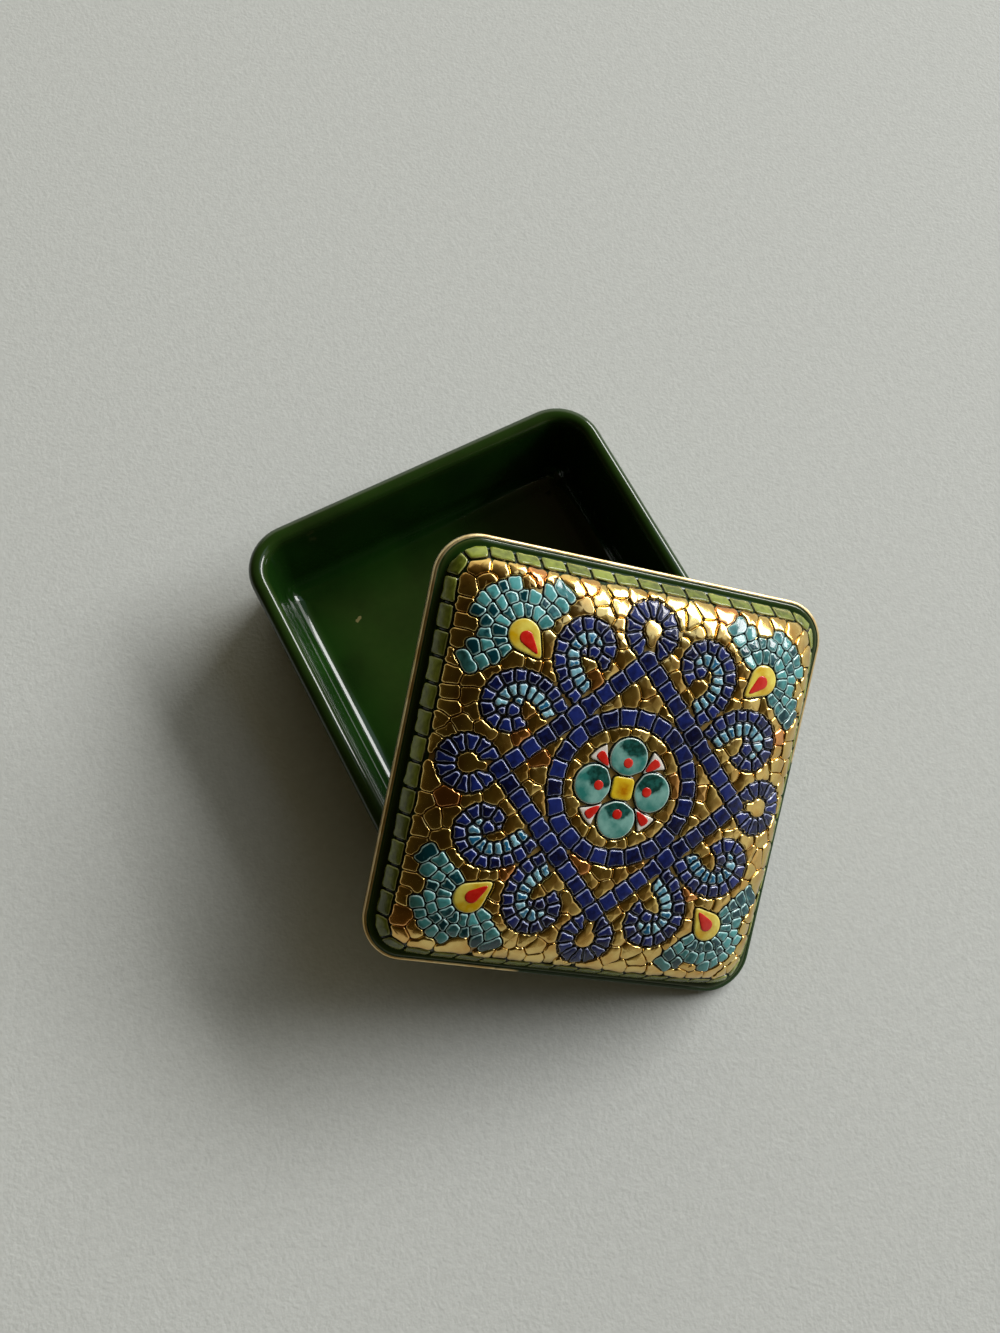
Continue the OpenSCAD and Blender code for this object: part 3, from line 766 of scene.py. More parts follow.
@dataclass
class BoxDish(Piece):
    """The open dish with drafted walls, a bullnose rim and a swept floor."""

    half: float = 50.75
    corner: float = 12.5
    height: float = 27.0
    wall: float = 4.5
    outer_draft: float = 2.5
    inner_draft: float = 3.0
    floor: float = 3.3
    sweep: float = 6.0
    sweep_fade: float = 9.0
    rim: float = 2.2
    foot: float = 2.0
    least_r: float = 0.01
    outer_shares: tuple[float, ...] = (0.25, 0.5, 0.75)
    inner_shares: tuple[float, ...] = (0.1, 0.35, 0.6, 0.85)
    foot_steps: int = 8
    rim_steps: int = 10
    sweep_steps: int = 18
    corner_steps: int = 12
    side_steps: int = 10
    under_thin: float = 0.2
    foot_thin: float = 0.3
    rim_thin: float = 0.1
    # Olive share on the floor's middle, fading to none by the walls: painted light, not thin glaze
    floor_painted_light: float = 0.12

    def profile(self) -> list[tuple[float, float, float]]:
        """Section of the dish from the underside to the floor.

        Returns:
            Distance from the corner's centre line, height and share of olive: thin glaze on edges, painted
            light on the floor's middle.
        """
        base = self.corner - self.outer_draft
        mouth = self.corner - self.wall
        inner = mouth - self.inner_draft
        top = self.height - self.rim
        deep = self.floor + self.sweep
        heart = inner - self.sweep
        low = arc(base - self.foot, self.foot, self.foot, -90, 0, self.foot_steps)
        lip = arc(self.corner - self.rim, top, self.rim, 0, 90, self.rim_steps)
        lip += arc(mouth + self.rim, top, self.rim, 90, 180, self.rim_steps)
        bowl = arc(heart, deep, self.sweep, 0, -90, self.sweep_steps)
        rise, fall = top - self.foot, top - deep
        section = [(self.least_r, 0.0, self.under_thin)]
        section += [(x, z, self.foot_thin) for x, z in low]
        section += [(base + self.outer_draft * t, self.foot + rise * t, 0.0) for t in self.outer_shares]
        section += [(x, z, self.rim_thin) for x, z in lip]
        section += [(mouth - self.inner_draft * t, top - fall * t, 0.0) for t in self.inner_shares]
        section += [(x, z, 0.0) for x, z in bowl]
        # The floor's middle takes the olive as painted light
        section += [(heart - self.sweep_fade, self.floor, self.floor_painted_light)]
        return section

    def build(self) -> None:
        """Carries the section round the rounded square."""
        core = self.half - self.corner
        rings, thin = [], []
        for x, z, worn in self.profile():
            ring = square_ring(core + x, max(x, self.least_r), self.corner_steps, self.side_steps)
            rings.append(at_height(ring, z))
            thin.append(np.full(len(ring), worn))
        points = np.concatenate([[[0, 0, 0]], *rings, [[0, 0, self.floor]]])
        # The floor's middle point takes the olive as painted light
        values = {Attr.THIN_GLAZE_AND_LIGHT: np.concatenate([[self.under_thin], *thin, [self.floor_painted_light]])}
        faces = loft_faces(len(rings), len(rings[0]))
        self.shown.append(new_mesh("box_dish_glazed", points, faces, values))

    def dress(self) -> None:
        """Glazes the dish."""
        self.shown[0].data.materials.append(GREEN.material())


@dataclass
class LidShell(Piece):
    """The lid under its mosaic: flange, plain band, locating step and hollow."""

    shape: LidShape = LID
    corner_steps: int = 10
    side_steps: int = 10
    # How much faster than the width the corner radius grows towards the middle of a dome
    corner_gain: float = 1.15
    hollow_shares: tuple[float, ...] = (0.1, 0.25, 0.4, 0.55, 0.68, 0.78, 0.86, 0.92, 0.96, 0.985, 0.996)
    face_shares: tuple[float, ...] = (
        1.0, 0.997, 0.993, 0.988, 0.982, 0.974, 0.964, 0.951, 0.935, 0.914, 0.888,
        0.855, 0.81, 0.76, 0.7, 0.63, 0.55, 0.46, 0.36, 0.26, 0.16, 0.07,
    )
    # Inset from the gilding's inner side, height and thinness of the glaze
    band_section: tuple[tuple[float, float, float], ...] = (
        (0.0, 1.0, 0.4), (0.0, 2.5, 0.6), (0.15, 2.78, 0.6), (0.45, 2.9, 0.22), (1.1, 2.98, 0.03),
    )
    nose_step_deg: int = 15
    hollow_thin: float = 0.3
    nose_thin: float = 0.4
    step_thin: float = 0.5
    field_lift: float = 0.22
    field_run: float = 0.03
    field_cover: float = 0.25
    # Rings of the dome's face that stay green, under the border row
    green_rings: int = 8

    def ring(self, half: float, radius: float) -> np.ndarray:
        """Plan points of one ring of the shell."""
        return square_ring(half, radius, self.corner_steps, self.side_steps)

    def under(self) -> list[tuple[np.ndarray, float]]:
        """Rings from the hollow's middle out to the flange's edge.

        Returns:
            Points in the lid's frame and the thinness of the glaze.
        """
        s = self.shape
        rings: list[tuple[np.ndarray, float]] = []
        for share in self.hollow_shares:
            half = s.hollow_half * share
            xy = self.ring(half, min(half, s.hollow_r + self.corner_gain * (s.hollow_half - half)))
            rings.append((np.column_stack([xy, s.swell(xy, s.hollow_half, s.ceiling)]), 0.0))
        e = s.edge
        section = [
            (s.hollow_half, s.hollow_r, 0.0, 0.0),
            (s.hollow_half, s.hollow_r, e - s.step_depth, self.hollow_thin),
            (s.hollow_half + e, s.hollow_r + e, -s.step_depth, self.step_thin),
            (s.step_half - e, s.step_r - e, -s.step_depth, self.step_thin),
            (s.step_half, s.step_r, e - s.step_depth, self.step_thin),
            (s.step_half, s.step_r, 0.0, 0.0),
        ]
        for angle in range(0, 91, self.nose_step_deg):
            d = e * (1 - math.sin(math.radians(angle)))
            z = e * (1 - math.cos(math.radians(angle)))
            section.append((s.half - d, s.corner - d, z, self.nose_thin))
        section.append((s.half, s.corner, s.gilt_low, self.step_thin))
        return rings + [(at_height(self.ring(half, r), z), worn) for half, r, z, worn in section]

    def band(self) -> list[tuple[np.ndarray, float]]:
        """Rings of the plain glazed band between the gilding and the dome.

        Returns:
            Points in the lid's frame and the thinness of the glaze.
        """
        half = self.shape.half - self.shape.gilt
        radius = self.shape.corner - self.shape.gilt
        return [(at_height(self.ring(half - d, radius - d), z), worn) for d, z, worn in self.band_section]

    def face(self) -> list[tuple[np.ndarray, float]]:
        """Rings of the dome that the tesserae stand on.

        Returns:
            Points in the lid's frame and the thinness of the glaze.
        """
        s = self.shape
        rings = []
        for share in self.face_shares:
            half = s.foot * share
            xy = self.ring(half, min(half, s.corner - s.band + self.corner_gain * (s.foot - half)))
            rings.append((s.on_dome(xy, self.field_lift * min(1.0, (1 - share) / self.field_run)), 0.0))
        return rings

    def build(self) -> None:
        """Joins the rings to one skin; the dome's face is gold."""
        s = self.shape
        plain = self.under() + self.band()
        rings = plain + self.face()
        first = [[0, 0, s.ceiling]]
        last = [[0, 0, s.crest + self.field_lift]]
        points = np.concatenate([first, *[r for r, _ in rings], last])
        thin = np.concatenate([[0.0], *[np.full(len(r), worn) for r, worn in rings], [0.0]])
        count = len(rings[0][0])
        values = {Attr.THIN_GLAZE_AND_LIGHT: thin, Attr.RISE: np.full(len(points), self.field_cover)}
        obj = new_mesh("lid_shell_glazed", s.to_row(points), loft_faces(len(rings), count), values)
        border = 1 + (len(plain) + self.green_rings) * count
        for polygon in obj.data.polygons:
            polygon.material_index = int(min(polygon.vertices) >= border)
        self.shown.append(obj)

    def dress(self) -> None:
        """Glazes the shell green and its mosaic field gold."""
        self.shown[0].data.materials.append(GREEN.material())
        self.shown[0].data.materials.append(GOLD.material())


@dataclass
class GiltEdge(Piece):
    """The brushed gold strip round the lid's edge, uneven along its inner side and left off at one corner.
    """

    shape: LidShape = LID
    corner_steps: int = 16
    side_steps: int = 60
    bead_share: float = 0.6
    bead_steps: int = 8
    low_gap: float = 0.02
    upright: float = 0.6
    # Inset from the lid's edge and height over the strip's top, where the gold laps on the band
    lap: tuple[tuple[float, float], ...] = ((0.72, 0.0), (0.98, 0.1), (1.02, -0.2))
    # The last rings have no gold, and the very last waver: waves round the edge and where each starts
    bare_rings: int = 3
    waver_rings: int = 2
    waver: float = 0.06
    waves: tuple[tuple[float, float], ...] = ((23.0, 0.0), (41.0, 1.3), (9.0, 0.4))
    # Bare stretch along the diagonal: where it starts, how far it fades, and the height and pitch of its
    # ragged line
    bare_from: float = 26.0
    bare_over: float = 16.0
    ragged: tuple[tuple[float, float, float], ...] = ((3.0, 0.9, -0.7), (2.0, 2.1, 1.6))

    def left(self, xy: np.ndarray) -> np.ndarray:
        """How much gold is laid along the edge: none at the near right corner.

        Args:
            xy: Plan points on the edge.

        Returns:
            One share per point.
        """
        x, y = xy.T
        diagonal = x - y + sum(height * np.sin(px * x + py * y) for height, px, py in self.ragged)
        return 1 - np.clip((diagonal - self.bare_from) / self.bare_over, 0.0, 1.0)

    def build(self) -> None:
        """Carries a rounded strip round the lid's edge."""
        s = self.shape
        bead = s.gilt * self.bead_share
        low = s.gilt_low + self.low_gap
        section = [(s.gilt, low), (0.0, low), (0.0, s.gilt_low + self.upright)]
        section += [(bead - x, s.gilt_top - bead + z) for x, z in arc(0, 0, bead, 0, 90, self.bead_steps)]
        section += [(inset, s.gilt_top + lift) for inset, lift in self.lap]
        rings, cover = [], []
        for i, (inset, z) in enumerate(section):
            xy = square_ring(s.half - inset, s.corner - inset, self.corner_steps, self.side_steps)
            cover.append(self.left(xy) * (i < len(section) - self.bare_rings))
            if i >= len(section) - self.waver_rings:
                along = np.arange(len(xy)) / len(xy) * math.tau
                sway = sum(np.sin(along * count + phase) for count, phase in self.waves)
                xy = xy * (1 + self.waver / s.half * sway[:, None])
            rings.append(at_height(xy, z))
        count = len(rings[0])
        faces = []
        for i in range(len(rings)):
            faces += strip(i * count, (i + 1) % len(rings) * count, count)
        values = {Attr.RISE: np.concatenate(cover)}
        self.shown.append(new_mesh("lid_edge_gilding", s.to_row(np.concatenate(rings)), faces, values))

    def dress(self) -> None:
        """Gilds the strip."""
        self.shown[0].data.materials.append(GILT.material())


class Turn(Enum):
    """When a tessera grows to close up on its neighbours."""

    NEVER = 0
    GLAZED = 1
    GOLD = 2


@dataclass(frozen=True)
class TileProfile:
    """How a tessera swells from its bed to its top.

    Attributes:
        rings: Outward offset, height and rise of each ring; the rise goes from 0 in the groove to 1 on top.
        crown: Height of the top's middle.
        around: Points round the outline.
        cut: Share of each side that is cut off at a corner.
        grow: Farthest move of the outline in one pass.
        tilt: Spread of the slopes of the tops.
        uneven: Spread of the heights, as a share.
        sway: Waver of the outline.
        turn: When it grows.
        joint: Joint that stays between two tesserae of one turn.
        reach: Farthest neighbour that it grows towards.
        painted: Whether it is paint on another piece.
    """

    rings: tuple[tuple[float, float, float], ...]
    crown: float
    around: int
    cut: float
    grow: float = 0.0
    tilt: float = 0.0
    uneven: float = 0.0
    sway: float = 0.0
    turn: Turn = Turn.NEVER
    joint: float = 0.1
    reach: float = 9.0
    painted: bool = False


# Cushion of a glazed tessera with a crisp shoulder, in a bed of dark glaze
GLAZED = TileProfile(
    rings=(
        (0.36, 0.26, 0.0), (0.08, 0.33, 0.12), (-0.05, 0.5, 0.36), (-0.13, 0.76, 0.5), (-0.23, 0.88, 0.68),
        (-0.38, 0.93, 0.86), (-0.68, 0.96, 1.0),
    ),
    crown=0.98, around=32, cut=0.1, grow=0.1, tilt=0.03, uneven=0.03, sway=0.12,
    turn=Turn.GLAZED, joint=0.48, reach=1.3,
)
# Small cushion of a scroll or loop, in a wide groove of dark glaze
SCROLL = TileProfile(
    rings=(
        (0.36, 0.26, 0.0), (0.02, 0.32, 0.12), (-0.15, 0.5, 0.36), (-0.23, 0.74, 0.5), (-0.34, 0.86, 0.66),
        (-0.5, 0.93, 0.84), (-0.8, 0.97, 1.0),
    ),
    crown=1.0, around=32, cut=0.14, grow=0.1, tilt=0.05, uneven=0.04, sway=0.12,
    turn=Turn.GLAZED, joint=0.4, reach=1.3,
)
# Rounded pebble of a palmette, whose glaze pools in the middle
SHELL = TileProfile(
    rings=(
        (0.36, 0.27, 0.0), (0.2, 0.38, 0.14), (0.12, 0.54, 0.36), (0.03, 0.73, 0.5), (-0.13, 0.85, 0.64),
        (-0.36, 0.91, 0.78), (-0.64, 0.93, 0.9), (-1.0, 0.94, 1.0),
    ),
    crown=0.95, around=32, cut=0.17, grow=0.2, tilt=0.09, uneven=0.05, sway=0.24,
    turn=Turn.GLAZED, joint=0.4,
)
# Broad flat pebble of gold
PEBBLE = TileProfile(
    rings=(
        (0.05, 0.26, 0.0), (-0.02, 0.46, 0.3), (-0.1, 0.64, 0.5), (-0.21, 0.77, 0.7), (-0.36, 0.845, 0.9),
        (-0.6, 0.895, 1.0), (-1.0, 0.93, 1.0), (-1.5, 0.947, 1.0),
    ),
    crown=0.96, around=36, cut=0.16, grow=0.6, tilt=0.065, uneven=0.05, sway=0.2, turn=Turn.GOLD,
)
# Long border tessera on the flank
BORDER = TileProfile(
    rings=(
        (0.26, 0.16, 0.0), (0.08, 0.26, 0.12), (0.0, 0.48, 0.36), (-0.1, 0.7, 0.5), (-0.24, 0.82, 0.7),
        (-0.45, 0.88, 0.9), (-0.8, 0.9, 1.0),
    ),
    crown=0.92, around=40, cut=0.06, tilt=0.02, uneven=0.03, sway=0.06,
)
# Broad painted piece
BROAD = TileProfile(
    rings=(
        (0.28, 0.26, 0.0), (0.1, 0.33, 0.12), (0.02, 0.5, 0.36), (-0.07, 0.74, 0.5), (-0.18, 0.85, 0.68),
        (-0.34, 0.9, 0.84), (-0.6, 0.93, 1.0), (-1.0, 0.94, 1.0), (-1.5, 0.95, 1.0), (-2.0, 0.96, 1.0),
        (-2.6, 0.97, 1.0), (-3.2, 0.97, 1.0),
    ),
    crown=0.98, around=64, cut=0.14, uneven=0.01,
)
# The small button in the middle of the rosette, with rounder corners
BUTTON = replace(BROAD, cut=0.27)
# Thin enamel mark over a painted piece
MARK = TileProfile(
    rings=((0.06, 0.92, 0.3), (0.0, 1.0, 0.5), (-0.12, 1.05, 1.0), (-0.4, 1.07, 1.0)),
    crown=1.08, around=32, cut=0.2, painted=True,
)


def evenly(line: np.ndarray, count: int) -> np.ndarray:
    """Spaces points evenly along a closed line.

    Args:
        line: Plan points of the line.
        count: Number of points to return.

    Returns:
        The spaced points.
    """
    closed = np.vstack([line, line[:1]])
    run = np.concatenate([[0], np.cumsum(np.linalg.norm(np.diff(closed, axis=0), axis=1))])
    at = np.linspace(0, run[-1], count, endpoint=False)
    return np.column_stack([np.interp(at, run, closed[:, k]) for k in (0, 1)])


def roundness(edge: np.ndarray) -> float:
    """How near an outline is to a circle.

    Args:
        edge: Plan points of the outline, in turning order.

    Returns:
        One for a circle, less for any other shape.
    """
    ahead = np.roll(edge, -1, axis=0)
    area = np.sum(edge[:, 0] * ahead[:, 1] - edge[:, 1] * ahead[:, 0]) / 2
    return float(4 * math.pi * area / np.linalg.norm(ahead - edge, axis=1).sum() ** 2)


@dataclass(frozen=True)
class HandWaver:
    """A smooth waver of about 5 mm that shifts neighbours together, as a hand lays them.

    Each axis has one wave, in radians per millimetre, and a slower wave that bends it: how far, how fast
    and, along the second axis, from where.
    """

    aside: tuple[float, float] = (1.25, 0.6)
    aside_bend: tuple[float, float] = (1.6, 0.9)
    along: tuple[float, float] = (-0.7, 1.1)
    along_bend: tuple[float, float, float] = (1.4, 0.8, 2.0)

    def move(self, edge: np.ndarray, sway: float) -> np.ndarray:
        """Moves an outline.

        Args:
            edge: Plan points of the outline, in millimetres.
            sway: Largest move along each axis, in millimetres.

        Returns:
            The moved points.
        """
        x, y = edge.T
        bend, pitch = self.aside_bend
        aside = np.sin(edge @ self.aside + bend * np.sin(pitch * y))
        bend, pitch, phase = self.along_bend
        along = np.sin(edge @ self.along + bend * np.sin(pitch * x + phase))
        return edge + sway * np.column_stack([aside, along])


# Paints a patch on a piece, from its middle and the points on it
Brush = Callable[[np.ndarray, np.ndarray], np.ndarray]


@dataclass(frozen=True)
class PetalPatch:
    """The dark brushed patch of a petal. Each petal has its own place for it."""

    upper: tuple[float, float] = (0.8, 3.4)
    lower: tuple[float, float] = (0.2, 3.6)
    right: tuple[float, float] = (-1.2, 2.7)
    left: tuple[float, float] = (1.8, 2.6)
    stretch: tuple[float, float] = (0.9, 1.0)
    full: float = 1.2
    fade_mm: float = 4.6

    def __call__(self, middle: np.ndarray, xy: np.ndarray) -> np.ndarray:
        """Paints one petal.

        Args:
            middle: The petal's middle in plan.
            xy: Plan points on it.

        Returns:
            One value per point, over a half where the patch lies.
        """
        if abs(middle[0]) < abs(middle[1]):
            spot = self.upper if middle[1] > 0 else self.lower
        else:
            spot = self.right if middle[0] > 0 else self.left
        gap = np.linalg.norm((xy - middle - spot) * self.stretch, axis=1)
        return self.full - gap / self.fade_mm


@dataclass(frozen=True)
class PoolPatch:
    """Deeper glaze that pools near the middle of a small piece."""

    spot: tuple[float, float] = (0.3, -0.3)
    full: float = 0.85
    fade_mm: float = 4.0

    def __call__(self, middle: np.ndarray, xy: np.ndarray) -> np.ndarray:
        """Paints one piece: over a half where the glaze pools."""
        return self.full - np.linalg.norm(xy - middle - self.spot, axis=1) / self.fade_mm


@dataclass(kw_only=True)
class Tesserae(Piece):
    """A group of relief tesserae of one glaze, laid on the outlines of its CAD node."""

    finish: Finish
    profile: TileProfile
    seed: int
    brush: Brush | None = None
    shape: LidShape = LID
    waver: HandWaver = HandWaver()
    # Decimals of a millimetre to which CAD points are merged
    decimals: int = 3
    # How upright a tessera's own flat face is, at least, to count as its top
    upright: float = 0.9
    # Each corner is cut twice, the second time deeper
    cuts: tuple[float, float] = (1.0, 1.6)
    # A ring never shrinks to less than this share of the outline
    least: float = 0.1
    edges: list[np.ndarray] = field(default_factory=list)

    def outlines(self) -> list[np.ndarray]:
        """Reads the tessera outlines from the CAD node.

        Returns:
            Plan outlines in the lid's frame, each in turning order.
        """
        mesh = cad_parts[self.nodes[0]].data
        raw = np.empty(len(mesh.vertices) * 3)
        mesh.vertices.foreach_get("co", raw)
        local = self.shape.to_lid(raw.reshape(-1, 3) / MM)
        spots, owner = np.unique(np.round(local, self.decimals), axis=0, return_inverse=True)
        owner = owner.reshape(-1)
        group = np.arange(len(spots))
        faces = [owner[list(polygon.vertices)] for polygon in mesh.polygons]
        settled = False
        while not settled:
            before = group.copy()
            for face in faces:
                group[face] = group[face].min()
            settled = bool((before == group).all())
        return [self.ordered(spots[group == g]) for g in np.unique(group)]

    def ordered(self, solid: np.ndarray) -> np.ndarray:
        """Outline of one flat tessera.

        Args:
            solid: All corner points of the tessera, in the lid's frame.

        Returns:
            Plan points of its underside in turning order.
        """
        middle = solid.mean(axis=0)
        flat = np.linalg.svd(solid - middle)[2][2]
        up = self.shape.normal(middle[None, :2])[0]
        high = (solid - middle) @ (flat * np.sign(flat @ up) if abs(flat @ up) > self.upright else up)
        plan = solid[high < 0][:, :2]
        away = plan - plan.mean(axis=0)
        return plan[np.argsort(np.arctan2(away[:, 1], away[:, 0]))]

    def lay(self) -> None:
        """Takes the outlines over, with their corners a little cut."""
        self.edges = []
        for line in self.outlines():
            for cut in self.cuts:
                share = self.profile.cut * cut
                ahead = np.roll(line, -1, axis=0)
                pair = [line + share * (ahead - line), ahead + share * (line - ahead)]
                line = np.stack(pair, axis=1).reshape(-1, 2)
            self.edges.append(self.waver.move(evenly(line, self.profile.around), self.profile.sway))

    def build(self) -> None:
        """Swells every outline to a cushion on the dome."""
        rng = np.random.default_rng(self.seed)
        p = self.profile
        count, rings = p.around, len(p.rings)
        size = rings * count + 1
        highest = max(1.0, p.crown)
        steps = [(height, step) for _, height, step in p.rings] + [(p.crown, 1.0)]
        points, faces, rise, shade, patch = [], [], [], [], []
        for n, edge in enumerate(self.edges):
            middle = edge.mean(axis=0)
            away = edge - middle
            reach = np.linalg.norm(away, axis=1, keepdims=True)
            up = self.shape.normal(middle[None])[0]
            steep = np.sqrt(1 + ((away / reach) @ up[:2, None] / up[2]) ** 2)
            lean = rng.normal(0, p.tilt, 2)
            taller = rng.normal(0, p.uneven)
            shade.append(np.full(size, rng.random()))
            plans = [middle + away * np.maximum(self.least, 1 + r[0] / reach / steep) for r in p.rings]
            for xy, (height, step) in zip([*plans, middle[None]], steps):
                lift = height * (1 + taller * step) + step * ((xy - middle) @ lean)
                points.append(self.shape.on_dome(xy, np.minimum(lift, highest)))
                rise.append(np.full(len(xy), step))
                patch.append(self.brush(middle, xy) if self.brush else np.zeros(len(xy)))
            start = n * size
            for i in range(rings - 1):
                faces += strip(start + i * count, start + (i + 1) * count, count)
            last, tip = start + (rings - 1) * count, start + rings * count
            faces += [(last + j, last + (j + 1) % count, tip) for j in range(count)]
        parts = {Attr.RISE: rise, Attr.SHADE: shade, Attr.PATCH: patch}
        values = {attr: np.concatenate(part) for attr, part in parts.items()}
        row = self.shape.to_row(np.concatenate(points))
        self.shown.append(new_mesh(self.nodes[0] + "_relief", row, faces, values))

    def dress(self) -> None:
        """Glazes the tesserae."""
        self.shown[0].data.materials.append(self.finish.material())


@dataclass
class Mosaic:
    """The lid's whole relief. Its glazed tesserae close up, and gold cells fill the ground between them."""

    groups: list[Tesserae]
    # Distance kept from tesserae of other turns, points on each outline, and rounds of growth
    bed: float = 0.36
    samples: int = 60
    passes: int = 3
    # Points on the nearest outlines that are looked through for a neighbour's
    near_count: int = 40
    # A scroll's eye is its one round tessera; beads lie on circles round it, where they fit
    eye_round: float = 0.95
    eye_near: float = 8.0
    bead_paths: tuple[float, ...] = (2.1, 2.4, 2.7, 3.0)
    bead_joint: float = 0.3
    bead_sizes: tuple[float, float] = (0.5, 0.95)
    # Shares of a tessera's outline at which its ground counts as taken
    taken_shares: tuple[float, ...] = (0.25, 0.5, 0.75, 1.0)

    def sorted_points(self, edges: list[np.ndarray]) -> kdtree.KDTree:
        """Sorts points on outlines for finding the nearest.

        Args:
            edges: The outlines.

        Returns:
            The sorted points, the same number from each outline.
        """
        found = kdtree.KDTree(len(edges) * self.samples)
        for i, spot in enumerate(np.concatenate([evenly(edge, self.samples) for edge in edges])):
            found.insert((spot[0], spot[1], 0.0), i)
        found.balance()
        return found

    def fill_eyes(self) -> None:
        """Sets beads round the eye of each scroll, wherever they fit: one aqua, the others lapis."""
        named = {group.nodes[0]: group for group in self.groups}
        lapis, aqua = named["scroll_outer_tesserae"], named["scroll_inner_tesserae"]
        turns = np.linspace(0, math.tau, lapis.profile.around, endpoint=False)
        circle = np.column_stack([np.cos(turns), np.sin(turns)])
        eyes = [edge.mean(axis=0) for edge in lapis.edges if roundness(edge) > self.eye_round]
        least, most = self.bead_sizes
        for eye in eyes:
            spots = np.concatenate([eye + path * circle for path in self.bead_paths])
            laid = [edge for group in self.groups for edge in group.edges]
            near = [edge for edge in laid if math.dist(edge.mean(axis=0), eye) < self.eye_near]
            home = aqua
            size = most
            while size >= least:
                pairs = [(edge, edge.mean(axis=0)) for edge in near]
                taken = [core + (edge - core) * f for edge, core in pairs for f in self.taken_shares]
                gaps = np.linalg.norm(spots[:, None] - np.concatenate(taken)[None], axis=2).min(axis=1)
                size = min(most, float(gaps.max()) - self.bead_joint)
                if size >= least:
                    bead = spots[gaps.argmax()] + size * circle
                    near.append(bead)
                    home.edges.append(bead)
                    home = lapis

    def close_up(self, turn: Turn) -> None:
        """Lets the tesserae of one turn grow until only narrow joints are left.

        Args:
            turn: The turn.
        """
        solid = [group for group in self.groups if not group.profile.painted]
        fixed = [edge for group in solid if group.profile.turn is not turn for edge in group.edges]
        still = self.sorted_points(fixed)
        loose = [group for group in solid if group.profile.turn is turn]
        for _ in range(self.passes):
            moving = self.sorted_points([edge for group in loose for edge in group.edges])
            own = 0
            for group in loose:
                for i, edge in enumerate(group.edges):
                    room = self.room(edge, group.profile, own, still, moving)
                    group.edges[i] = self.grown(edge, np.clip(room, 0.0, group.profile.grow))
                    own += 1

    def room(
        self, edge: np.ndarray, profile: TileProfile, own: int, still: kdtree.KDTree, moving: kdtree.KDTree
    ) -> np.ndarray:
        """Measures how far an outline may move.

        Args:
            edge: Plan points of the outline.
            profile: How the tessera grows.
            own: The tessera's number among those of its turn.
            still: Points on the tesserae of other turns.
            moving: Points on the tesserae of its turn.

        Returns:
            One distance per point.
        """
        room = []
        for x, y in edge:
            free = still.find((x, y, 0.0))[2] - self.bed
            found = moving.find_n((x, y, 0.0), self.near_count)
            others = (gap for _, i, gap in found if i // self.samples != own)
            gap = next(others, profile.reach)
            room.append(min(free, (gap - profile.joint) / 2) if gap <= profile.reach else 0.0)
        return np.array(room)

    def grown(self, edge: np.ndarray, room: np.ndarray) -> np.ndarray:
        """Moves an outline outwards.

        Args:
            edge: Plan points.
            room: Distance for each point.

        Returns:
            The moved points, evenly spaced.
        """
        room = np.minimum(room, (np.roll(room, 1) + room + np.roll(room, -1)) / 3)
        along = np.roll(edge, -1, axis=0) - np.roll(edge, 1, axis=0)
        out = np.column_stack([along[:, 1], -along[:, 0]])
        return evenly(edge + room[:, None] * out / np.linalg.norm(out, axis=1, keepdims=True), len(edge))

    def set_out(self) -> None:
        """Lays every group's outlines, fills the scroll eyes and closes the joints."""
        for group in self.groups:
            group.lay()
        self.fill_eyes()
        self.close_up(Turn.GLAZED)
        self.close_up(Turn.GOLD)


def relief() -> list[Tesserae]:
    """All groups of tesserae on the lid.

    Returns:
        The groups, in the order in which they are built.
    """
    rows: list[tuple[str, str, Finish, TileProfile, Brush | None]] = [
        ("border_tesserae", "olive_glaze", OLIVE, BORDER, None),
        ("ground_tesserae", "gold_lustre", GOLD, PEBBLE, None),
        ("strap_tesserae", "lapis_glaze", LAPIS, GLAZED, None),
        ("loop_tesserae", "lapis_glaze", LAPIS, SCROLL, None),
        ("ring_tesserae", "lapis_glaze", LAPIS, GLAZED, None),
        ("scroll_outer_tesserae", "lapis_glaze", LAPIS, SCROLL, None),
        ("scroll_inner_tesserae", "aqua_glaze", AQUA, SCROLL, None),
        ("palmette_tesserae", "turquoise_glaze", TURQUOISE, SHELL, None),
        ("corner_drops", "yellow_glaze", YELLOW, BROAD, PoolPatch()),
        ("rosette_petals", "teal_glaze", TEAL, BROAD, PetalPatch()),
        ("rosette_gores", "white_glaze", WHITE, BROAD, None),
        ("rosette_button", "amber_glaze", AMBER, BUTTON, PoolPatch()),
        ("enamel_marks", "red_enamel", RED, MARK, None),
    ]
    return [
        Tesserae((node,), Body.LID, slot, finish=finish, profile=profile, brush=brush, seed=seed)
        for seed, (node, slot, finish, profile, brush) in enumerate(rows, FIRST_SEED)
    ]


# Studio


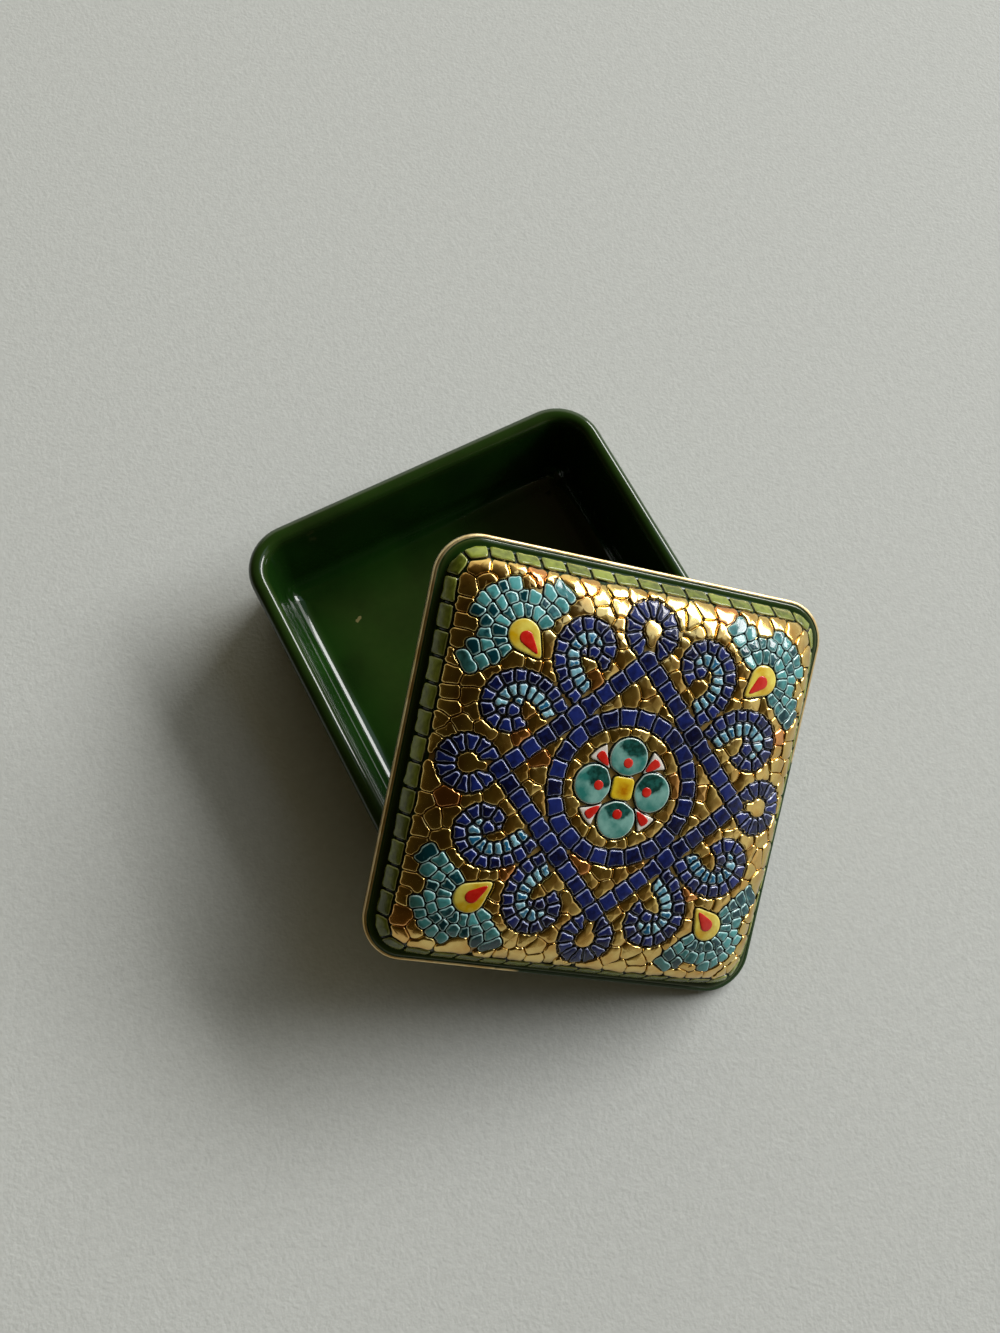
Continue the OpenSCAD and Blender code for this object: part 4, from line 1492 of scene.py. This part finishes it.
@dataclass(frozen=True)
class Camera:
    """The photograph's view."""

    lens_mm: float = 34.464
    sensor_mm: float = 36.0
    azimuth_deg: float = -38.203
    elevation_deg: float = 70.798
    distance_mm: float = 347.487
    target_mm: tuple[float, float, float] = (0.715, -1.804, 0.0)
    roll_deg: float = -10.552
    nearest_m: float = 0.01

    def axes(self) -> tuple[Vector, Vector, Vector]:
        """Directions of the picture.

        Returns:
            Right, up and towards the viewer.
        """
        az, el, r = (math.radians(a) for a in (self.azimuth_deg, self.elevation_deg, self.roll_deg))
        back = Vector((math.sin(az) * math.cos(el), -math.cos(az) * math.cos(el), math.sin(el)))
        level = (-back).cross(Vector((0, 0, 1))).normalized()
        down = (-back).cross(level)
        right = math.cos(r) * level + math.sin(r) * down
        return right, -(math.cos(r) * down - math.sin(r) * level), back

    def build(self) -> None:
        """Adds the camera and makes it the scene's."""
        right, up, back = self.axes()
        data = bpy.data.cameras.new("photo view")
        data.lens = self.lens_mm
        data.sensor_width = self.sensor_mm
        data.clip_start = self.nearest_m
        obj = bpy.data.objects.new("photo view", data)
        place = Vector(self.target_mm) * MM + back * self.distance_mm * MM
        turn = Matrix((right, up, back)).transposed().to_4x4()
        obj.matrix_world = Matrix.Translation(place) @ turn
        bpy.context.scene.collection.objects.link(obj)
        bpy.context.scene.camera = obj


@dataclass(frozen=True)
class Panel:
    """A soft light panel that faces the object."""

    name: str
    place_m: tuple[float, float, float]
    size_m: tuple[float, float]
    power_w: float
    colour: str

    def build(self) -> None:
        """Adds the light."""
        data = bpy.data.lights.new(self.name, "AREA")
        data.shape = "RECTANGLE"
        data.size, data.size_y = self.size_m
        data.energy = self.power_w
        data.color = linear(self.colour)[:3]
        obj = bpy.data.objects.new(self.name, data)
        obj.location = self.place_m
        obj.rotation_euler = (-Vector(self.place_m)).to_track_quat("-Z", "Y").to_euler()
        bpy.context.scene.collection.objects.link(obj)


@dataclass(frozen=True)
class Studio:
    """Table, lights and background."""

    table_m: float = 6.0
    # Shades of the room along the direction in which it gets darker
    room: tuple[tuple[float, str], ...] = (
        (0.0, "#d2d1c8"), (0.2, "#96917e"), (0.42, "#544a2f"), (0.7, "#362e16"), (1.0, "#211b0c"),
    )
    darker: tuple[float, float, float] = (-0.5, -0.12, 0.8)
    panels: tuple[Panel, ...] = (
        Panel("window", (8.56, 1.06, 5.08), (8.8, 2.7), 1235.0, "#fffefd"),
        Panel("pale wall", (0.6, 1.6, 0.7), (2.0, 1.3), 4.6, "#f6f2e2"),
        Panel("sky light", (1.55, -0.05, 1.95), (1.6, 1.0), 4.6, "#d1e3ff"),
    )

    def build(self) -> None:
        """Adds the table, the lights and the background."""
        h = self.table_m / 2
        corners = np.array([[-h, -h, 0], [h, -h, 0], [h, h, 0], [-h, h, 0]]) / MM
        table = new_mesh("table", corners, [(0, 1, 2, 3)], {})
        table.data.materials.append(TABLE.material())
        for panel in self.panels:
            panel.build()
        world = bpy.data.worlds.new("room")
        world.use_nodes = True
        tree = world.node_tree
        way = add_node(tree, Kind.COORDS, out="Generated")
        settings = {"operation": "DOT_PRODUCT", 1: self.darker}
        depth = add_node(tree, Kind.VECTOR, settings, {0: way}, "Value")
        colour = add_node(tree, Kind.RAMP, {"stops": self.room}, {"Fac": depth})
        tree.links.new(colour, tree.nodes["Background"].inputs["Color"])
        scene = bpy.context.scene
        scene.world = world
        scene.view_settings.view_transform = "Standard"


def main() -> None:
    """Builds the object round its frame, then the studio."""
    logging.basicConfig(level=logging.INFO, format="%(name)s: %(message)s")
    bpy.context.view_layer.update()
    mosaic = Mosaic(relief())
    mosaic.set_out()
    pieces: list[Piece] = [
        BoxDish(("box_dish",), Body.BOX, "green_glaze"),
        LidShell(("lid_shell",), Body.LID, "green_glaze"),
        GiltEdge(("lid_gilt_edge",), Body.LID, "gold_lustre"),
        *mosaic.groups,
    ]
    for piece in pieces:
        count = piece.make()
        LOG.info("%s on the %s: %d points", ", ".join(piece.nodes), piece.body.value, count)
    Studio().build()
    Camera().build()


if __name__ == "__main__":
    main()
